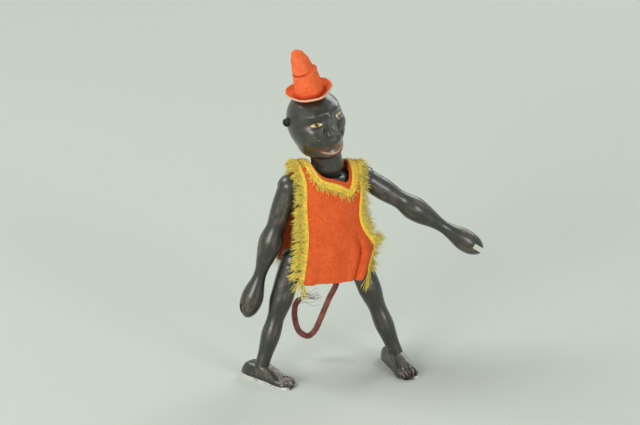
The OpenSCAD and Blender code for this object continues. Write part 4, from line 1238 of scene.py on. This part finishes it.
def makeCap():
    shadedCapFelt = capShadePaint()
    place = neckPlace @ Matrix.Translation(Vector(cap["seat"]) * mm)
    makeCrown(place, shadedCapFelt)
    loops = [[brimPoint(i / 16, a, 0) * mm for a in around(120)] for i in range(17)]
    loops += [[brimPoint(1 - i / 16, a, cap["felt"]) * mm for a in around(120)] for i in range(17)]
    points, faces = rings(loops, False, False, flip=True, shut=True)
    brim = addMesh("cap_brim_felt", points, faces, place=place, sharp=60)
    finishPiece(brim, "head", shadedCapFelt, ("cap_brim",))
    # the cord on the brim's edge, a little outside it
    route = [brimPoint(1, 2 * math.pi * j / 240, cap["felt"] / 2) * mm for j in range(241)]
    route = [p * (1 + 0.3 * mm / p.length) for p in route]
    loops = tube(route, lambda u, a: (cap["edge"] / 2 + 0.09 * math.cos(2 * a + u * 800)) * mm, 10)
    loops.pop()
    points, faces = rings(loops, False, False, shut=True)
    edge = addMesh("cap_edge_twist", points, faces, place=place)
    finishPiece(edge, "head", edgeCord, ("cap_edge_cord",))


# the tail: thread wound on wire, worn loose at the end
tail = {"diameter": 3.7, "pitch": 0.95, "shortEnds": 26, "longEnds": 14, "route": [
    (4, 9.18, -5), (12, 14, -14.2), (14.4, 14.5, -25.1), (9.7, 14.5, -36), (4.6, 14.5, -48.9),
    (1.1, 14.5, -56.2), (-3.3, 14.5, -59), (-9, 14.5, -54.9), (-11.9, 14.5, -46.5),
    (-12.1, 14.5, -38), (-9.6, 14.5, -33.8)]}


def makeTail():
    route = spline([Vector(p) * mm for p in tail["route"]], 70)
    length = sum((b - a).length for a, b in zip(route, route[1:]))
    turnsOn = length / mm / tail["pitch"]
    radius = tail["diameter"] / 2

    def wound(u, a):
        thread = abs(math.sin(math.pi * (u * turnsOn + a / (2 * math.pi))))
        ragged = 0.10 * wobble((u * 90, math.cos(a), math.sin(a)), 1.5, 3)
        return (radius - 0.22 + 0.24 * thread ** 0.6 + ragged) * mm
    points, faces = rings(tube(route, wound, 18))
    piece = addMesh("tail_winding", points, faces, place=torsoPlace)
    finishPiece(piece, "torso", tailWinding, ("tail_cover",))
    # the thread worn loose at the tip: short ends all round, and long ones to one side
    maker = StrandMaker(5)
    r = maker.random
    end = route[-1]
    way = (route[-1] - route[-4]).normalized()
    for k in range(tail["shortEnds"]):
        aim = (way + Vector((r.gauss(0.1, 0.35), r.gauss(0, 0.3), r.gauss(0, 0.3)))).normalized()
        spot = end + Vector((r.uniform(-1, 1), r.uniform(-1, 1), 0)) * 0.9 * mm
        maker.strand(spot, aim, r.uniform(1.2, 3.4) * mm, Vector((0, 0, -0.1)), 0.5, 0.12 * mm)
    for k in range(tail["longEnds"]):
        spot = end + Vector((r.uniform(0, 2), r.uniform(-1, 1), r.uniform(-3, 4))) * mm
        aim = Vector((1, r.uniform(-0.1, 0.1), r.uniform(-0.35, 0.25))).normalized()
        maker.strand(spot, aim, r.uniform(10, 18) * mm, Vector(), 0.16, 0.16 * mm, steps=9)
    loose = addMesh("tail_loose_threads", maker.points, maker.faces, place=torsoPlace)
    finishPiece(loose, "torso", looseThread)


def dressNodes():
    # the turned, drawn and knotted pieces keep their own shapes
    looks = {"bare_wood": plugWood, "elastic": elasticCover, "black_wood": bodyWood,
             "steel_wire": wireSteel, "cream_cord": edgeCord, "orange_felt": coatFelt,
             "red_felt": capFelt, "yellow_fringe": fringeWool, "brown_winding": tailWinding}
    for sub in frame["record"]["subparts"]:
        node = frame["nodes"][sub["node"]]
        for slot in node.material_slots:
            slot.material = looks[sub["material_slot"]].material


# the studio: a paper floor that fades into a backdrop of nearly its own colour
studio = {"floor": (0.59, 0.64, 0.58), "cloudy": 0.985, "floorHalf": 6, "fade": (0.7, 2.2),
          "backdrop": (0.57, 0.62, 0.56), "daylight": (0.96, 0.98, 0.93), "ambient": 0.27}
# each lamp's place, size, power and colour; all point at lampAim
lampAim = (0, 0, 0.1)
lamps = {
    "key": ((-1.25, -0.95, 0.5), 0.75, 14.5, (1.0, 0.99, 0.96)),
    "fill": ((0.6, -1.4, 0.5), 0.6, 8.5, (0.98, 0.99, 1.0)),
    "backLeft": ((-0.85, 0.5, 1.3), 0.8, 12, (1.0, 1.0, 1.0)),
    "backRight": ((1.0, 0.75, 0.9), 0.8, 7.5, (1.0, 1.0, 1.0)),
}


def makeFloor():
    half = studio["floorHalf"]
    corners = [(-half, -half, 0), (half, -half, 0), (half, half, 0), (-half, half, 0)]
    floor = addMesh("floor", corners, [(0, 1, 2, 3)])
    look = Finish("paperFloor", Roughness=0.9, Specular_IOR_Level=0.0)
    cloud = tuple(v * studio["cloudy"] for v in studio["floor"])
    look.feed("Base Color", look.blend(look.grain(350, 2), studio["floor"], cloud))
    x, y, _ = look.axes()
    away = look.ramp((x * x + y * y) ** 0.5, *studio["fade"]) * look.raysSeen()
    paper = Wire(look, look.shader.outputs[0])
    far = look.node("ShaderNodeEmission", inputs={0: (*studio["backdrop"], 1)})
    fade = look.node("ShaderNodeMixShader", inputs={0: away, 1: paper, 2: far})
    look.tree.links.new(fade.socket, look.output.inputs[0])
    floor.data.materials.append(look.material)


def makeBackdrop():
    # the world lights the object at one strength and shows the backdrop's colour at another
    world = bpy.data.worlds.new("studio")
    bpy.context.scene.world = world
    world.use_nodes = True
    sky = Nodes(world.node_tree)
    light = sky.node("ShaderNodeBackground",
                     inputs={0: (*studio["daylight"], 1), 1: studio["ambient"]})
    shown = sky.node("ShaderNodeBackground", inputs={0: (*studio["backdrop"], 1), 1: 1.0})
    pick = sky.node("ShaderNodeMixShader", inputs={0: sky.raysSeen(), 1: light, 2: shown})
    sky.node("ShaderNodeOutputWorld", inputs={0: pick})


def makeLamps():
    for name, (spot, size, power, tone) in lamps.items():
        data = bpy.data.lights.new(name, "AREA")
        data.shape, data.size, data.energy, data.color = "SQUARE", size, power, tone
        lamp = bpy.data.objects.new(name, data)
        bpy.context.scene.collection.objects.link(lamp)
        lamp.location = spot
        way = Vector(lampAim) - Vector(spot)
        lamp.rotation_euler = way.to_track_quat("-Z", "Y").to_euler()


makeCamera()
makeFloor()
makeBackdrop()
makeLamps()
bpy.context.scene.view_settings.view_transform = "Standard"
print("camera, floor and lamps stand")
dressNodes()
makeTorso()
print("torso carved")
for side in sideSign:
    makeArm(side)
    makeLeg(side)
    makeFoot(side)
print("limbs carved")
makeHead()
print("head carved")
makeCoat()
print("coat sewn")
makeCap()
makeTail()
print("cap and tail made")
